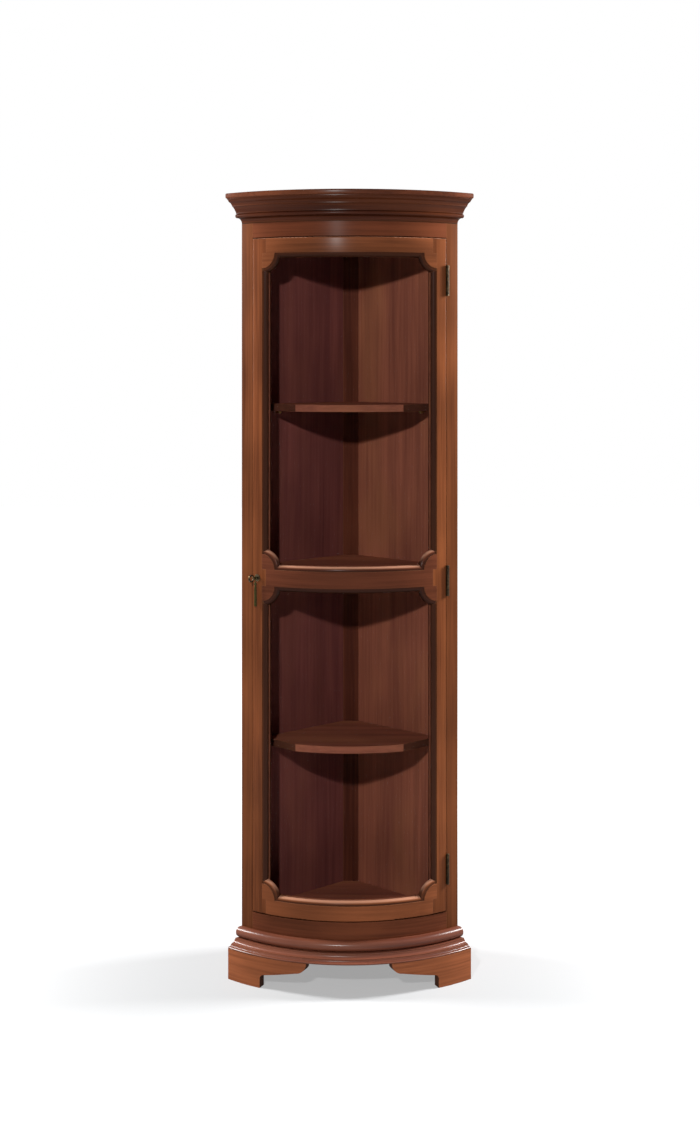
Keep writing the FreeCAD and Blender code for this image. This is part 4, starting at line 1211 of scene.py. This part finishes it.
@dataclass
class KeyFittings:
    """The domed keyhole plate and the tassel on the key, both placed by the key's own line.

    Attributes:
        loop: Radius of the cord loop's middle line.
        loop_steps: Number of places round the loop.
        cord: Radius of the loop's cord.
        cord_steps: Number of points round the cord.
        waist: Radius of the cord between its two strands, as a share of its radius.
        twists: Turns of the strands.
        strands: Number of threads round the tassel.
        strand_steps: Number of points across each thread.
        levels: Number of even levels down the tassel, besides those of its outline.
        ripple: Depth of the grooves between threads, as a share of the radius.
        lay: Turn of the threads in radians for each metre down.
        plate: Radius of the keyhole plate.
        plate_steps: Number of places round the plate.
        rim: Width of the plate's raised rim.
        rim_height: Height of the middle of the rim's round.
        dome: Height of the plate's dome.
        dome_steps: Number of points from the hole to the rim.
        shoulder: Height of the dome at the rim, as a share of its own.
        hole: Radius of the plate's hole.
        plate_angle: Angle in degrees that a sharp edge of the plate turns by or more.
    """

    loop: float = 0.0036
    loop_steps: int = 56
    cord: float = 0.0009
    cord_steps: int = 12
    waist: float = 0.78
    twists: int = 7
    strands: int = 16
    strand_steps: int = 5
    levels: int = 60
    ripple: float = 0.16
    lay: float = 22.0
    plate: float = 0.009
    plate_steps: int = 64
    rim: float = 0.0011
    rim_height: float = 0.0004
    dome: float = 0.0012
    dome_steps: int = 9
    shoulder: float = 0.3
    hole: float = 0.0027
    plate_angle: float = 40.0

    def frame_of(self, node: str) -> tuple[np.ndarray, np.ndarray, np.ndarray]:
        """How a fitting stands on the door.

        Args:
            node: The fitting's CAD piece.

        Returns:
            Its middle, the way out through the door's face and the way along the face.
        """
        low, high = (np.array(corner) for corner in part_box(node))
        middle = (low + high) / 2
        outward = np.array([middle[0], middle[1] - CORNER_Y, 0.0])
        outward /= np.linalg.norm(outward)
        return middle, outward, np.array([-outward[1], outward[0], 0.0])

    def cord_loop(self, centre: np.ndarray, outward: np.ndarray, along: np.ndarray) -> np.ndarray:
        """The twisted loop round the key's shaft.

        Formula: a tube of radius cord * (waist + (1 - waist) * |cos(phi - twists * psi)|) about a circle of
        radius loop, psi round the circle and phi round the tube.

        Args:
            centre: The circle's middle.
            outward: The way out through the door's face.
            along: The way along it.

        Returns:
            A grid of points, psi by phi.
        """
        psi = np.linspace(0.0, math.tau, self.loop_steps, endpoint=False)[:, None, None]
        phi = np.linspace(0.0, math.tau, self.cord_steps, endpoint=False)[None, :, None]
        ray = np.cos(psi) * along + np.sin(psi) * UPWARD
        thick = self.cord * (self.waist + (1 - self.waist) * np.abs(np.cos(phi - self.twists * psi)))
        return centre + self.loop * ray + thick * (np.cos(phi) * ray + np.sin(phi) * outward)

    def threads(self, top: np.ndarray, length: float, outward: np.ndarray, along: np.ndarray) -> np.ndarray:
        """The bound head and the loose threads.

        Formula: at z below the top and angle phi about the upright, the radius is
        r(z) * (1 - g(z) * |sin(strands / 2 * phi + lay * z)|). TASSEL_STEPS gives r, and g is ripple times
        its grooves.

        Args:
            top: The point that it hangs from.
            length: Its length.
            outward: The way out through the door's face.
            along: The way along it.

        Returns:
            A grid of points, z by phi.
        """
        drop, radius, groove = TASSEL_STEPS.T
        fine = np.unique(np.concatenate([drop, np.linspace(drop[0], drop[-1], self.levels)]))
        depth = (fine * length)[:, None, None]
        reach = np.interp(fine, drop, radius)[:, None, None] / MILLIMETRES
        cut = np.interp(fine, drop, groove)[:, None, None] * self.ripple
        phi = np.linspace(0.0, math.tau, self.strands * self.strand_steps, endpoint=False)[None, :, None]
        reach = reach * (1 - cut * np.abs(np.sin(self.strands / 2 * phi + self.lay * depth)))
        return top - UPWARD * depth + reach * (np.cos(phi) * along + np.sin(phi) * outward)

    def tassel(self) -> None:
        """Make the tassel: a twisted cord loop, a bound head and loose threads."""
        middle, outward, along = self.frame_of("tassel")
        low, high = (corner.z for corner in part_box("tassel"))
        centre = np.array([middle[0], middle[1], high - self.loop - self.cord])
        length = high - self.loop * 2 - self.cord - low
        ring = self.cord_loop(centre, outward, along)
        skirt = self.threads(centre - UPWARD * self.loop, length, outward, along)
        ring_faces = grid_faces(*ring.shape[:2], True, True)
        skirt_faces = grid_faces(*skirt.shape[:2], False, True) + ring.shape[0] * ring.shape[1]
        points = np.concatenate([ring.reshape(-1, 3), skirt.reshape(-1, 3)])
        piece = mesh_object("threaded_tassel", points, np.concatenate([ring_faces, skirt_faces]).tolist())
        piece.data.materials.append(THREAD.material())
        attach(piece, "tassel")
        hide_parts("tassel")
        LOG.info("%s: %s", piece.name, THREAD.name)

    def keyhole_plate(self) -> None:
        """Make the plate: a low dome inside a raised rim, turned about the key's line.

        Formula: its height at radius r is dome * (shoulder + (1 - shoulder) * cos(pi / 2 * r / reach)),
        where reach is the rim's inner radius.
        """
        middle, outward, along = self.frame_of("keyhole_plate")
        reach = self.plate - self.rim
        inner = np.linspace(self.hole, reach, self.dome_steps)
        height = self.dome * (self.shoulder + (1 - self.shoulder) * np.cos(math.pi / 2 * inner / reach))
        round_rim = arc((self.plate - self.rim / 2, self.rim_height), self.rim / 2, 180.0, 0.0)
        domed = np.stack([inner, height], axis=-1)
        section = np.concatenate([[(self.hole, 0.0)], domed, round_rim, [(self.plate, 0.0)]])
        angle = np.linspace(0.0, math.tau, self.plate_steps, endpoint=False)[:, None, None]
        ray = np.cos(angle) * along + np.sin(angle) * UPWARD
        foot = middle - outward * self.dome / 2
        points = foot + section[None, :, :1] * ray + section[None, :, 1:] * outward
        faces = grid_faces(*points.shape[:2], True, True).tolist()
        piece = soften(mesh_object("domed_keyhole_plate", points, faces), self.plate_angle)
        piece.data.materials.append(KEY_BRASS.material())
        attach(piece, "door")
        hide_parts("keyhole_plate")
        LOG.info("%s: %s", piece.name, KEY_BRASS.name)

    def build(self) -> None:
        """Make both fittings."""
        self.tassel()
        self.keyhole_plate()


@dataclass(frozen=True)
class Lamp:
    """A flat rectangular lamp.

    Attributes:
        name: Name of the lamp.
        place: Where its middle hangs.
        aim: The point that it faces.
        width: Width across.
        height: Height.
        power: Power in watts.
    """

    name: str
    place: Triple
    aim: Triple
    width: float
    height: float
    power: float

    def build(self) -> None:
        """Hang the lamp and turn it to its aim."""
        data = bpy.data.lights.new(self.name, "AREA")
        data.shape = "RECTANGLE"
        data.size = self.width
        data.size_y = self.height
        data.energy = self.power
        lamp = bpy.data.objects.new(self.name, data)
        lamp.location = self.place
        lamp.rotation_euler = (Vector(self.aim) - Vector(self.place)).to_track_quat("-Z", "Y").to_euler()
        bpy.context.scene.collection.objects.link(lamp)


def background_rays(tree: Tree) -> bpy.types.NodeSocket:
    """Mark the rays that see the white background: the camera's own and those that metal and glass send on.

    Args:
        tree: The tree that needs the mark.

    Returns:
        1 for such a ray, else 0.
    """
    path = tree.add("ShaderNodeLightPath").outputs
    mirrored = tree.math("MAXIMUM", path["Is Glossy Ray"], path["Is Transmission Ray"])
    return tree.math("MAXIMUM", path["Is Camera Ray"], mirrored)


@dataclass
class Studio:
    """Camera, lamps, floor and white surroundings.

    Attributes:
        focal: Focal length in pixels of the image.
        camera_place: Where the camera stands.
        optical_centre: Pixel that the camera looks straight at.
        sensor: Height of the sensor in millimetres.
        lamps: The lamps.
        white: Colour of the background, linear.
        sky: Colour of the world's own light, linear.
        sky_strength: Strength of that light.
        floor_colour: Colour of the floor under the cabinet, linear.
        floor_roughness: Roughness of the floor.
        floor_half: Half of the floor's width.
        fade: Distances at which the floor starts to turn white and is white.
        glow: The floor's own light at those distances.
    """

    focal: float = 1772.0
    camera_place: Triple = (0.06, -4.5835, 1.577)
    optical_centre: tuple[float, float] = (373.2, 357.5)
    sensor: float = 36.0
    lamps: tuple[Lamp, ...] = (
        Lamp("Key", (-0.82, -4.5, 2.75), (0.0, 0.0, 1.05), 0.16, 0.16, 133.0),
        Lamp("Left strip", (-2.8, 0.75, 2.35), (0.0, -0.05, 1.2), 0.8, 1.3, 205.0),
        Lamp("Right strip", (2.8, 0.75, 2.35), (0.0, -0.05, 1.2), 0.8, 1.3, 260.0),
    )
    white: Colour = (1.0, 1.0, 1.0)
    sky: Colour = (0.95, 0.97, 1.0)
    sky_strength: float = 0.015
    floor_colour: Colour = (0.31, 0.315, 0.32)
    floor_roughness: float = 0.9
    floor_half: float = 14.0
    fade: tuple[float, float] = (0.4, 1.8)
    glow: tuple[float, float] = (0.35, 1.0)

    def camera(self) -> None:
        """Level camera whose shift gives the framing."""
        data = bpy.data.cameras.new("Camera")
        data.sensor_fit = "VERTICAL"
        data.sensor_height = self.sensor
        data.lens = self.focal / IMAGE_HEIGHT * self.sensor
        data.shift_x = (IMAGE_WIDTH / 2 - self.optical_centre[0]) / IMAGE_HEIGHT
        data.shift_y = (self.optical_centre[1] - IMAGE_HEIGHT / 2) / IMAGE_HEIGHT
        camera = bpy.data.objects.new("Camera", data)
        camera.location = self.camera_place
        camera.rotation_euler = (math.radians(90), 0.0, 0.0)
        bpy.context.scene.collection.objects.link(camera)
        bpy.context.scene.camera = camera

    def surroundings(self) -> None:
        """World that is white to the eye and in reflections, and softer as light."""
        world = bpy.data.worlds.new("Studio")
        bpy.context.scene.world = world
        world.use_nodes = True
        tree = Tree(world.node_tree)
        light = tree.fill(world.node_tree.nodes["Background"], (*self.sky, 1.0), self.sky_strength)
        white = tree.fill(tree.add("ShaderNodeBackground"), (*self.white, 1.0), 1.0)
        mixed = tree.add("ShaderNodeMixShader")
        tree.fill(mixed, background_rays(tree), light.outputs[0], white.outputs[0])
        tree.feed(world.node_tree.nodes["World Output"].inputs["Surface"], mixed.outputs[0])

    def floor(self) -> None:
        """Pale floor that keeps the cabinet's shadow and fades to white away from it."""
        corners = np.array([(-1, -1, 0), (1, -1, 0), (1, 1, 0), (-1, 1, 0)]) * self.floor_half
        piece = mesh_object("Floor", corners, [[0, 1, 2, 3]])
        material, tree, shader = new_material("Pale floor")
        shader.inputs["Base Color"].default_value = (*self.floor_colour, 1.0)
        shader.inputs["Roughness"].default_value = self.floor_roughness
        distance = tree.vector_math("LENGTH", tree.place(), output="Value")
        fade = tree.spread(distance, *self.fade, *self.glow)
        strength = tree.math("MULTIPLY", fade, background_rays(tree))
        glow = tree.fill(tree.add("ShaderNodeEmission"), (*self.white, 1.0), strength)
        added = tree.fill(tree.add("ShaderNodeAddShader"), shader.outputs[0], glow.outputs[0])
        tree.feed(material.node_tree.nodes["Material Output"].inputs["Surface"], added.outputs[0])
        piece.data.materials.append(material)

    def build(self) -> None:
        """Set up the whole studio."""
        self.camera()
        for lamp in self.lamps:
            lamp.build()
        self.surroundings()
        self.floor()
        bpy.context.scene.view_settings.view_transform = "Standard"


def main() -> None:
    """Build the studio and dress the cabinet, assembly by assembly."""
    logging.basicConfig(level=logging.INFO, format="%(name)s: %(message)s")
    Studio().build()
    WoodWork().dress()
    MetalWork().dress()
    Glazing().dress()
    FineMoulding("cornice_moulding", CORNICE_SECTION).build(CORNICE_WOOD)
    FineMoulding("base_moulding", BASE_SECTION).build(BASE_WOOD)
    KeyFittings().build()


if __name__ == "__main__":
    main()
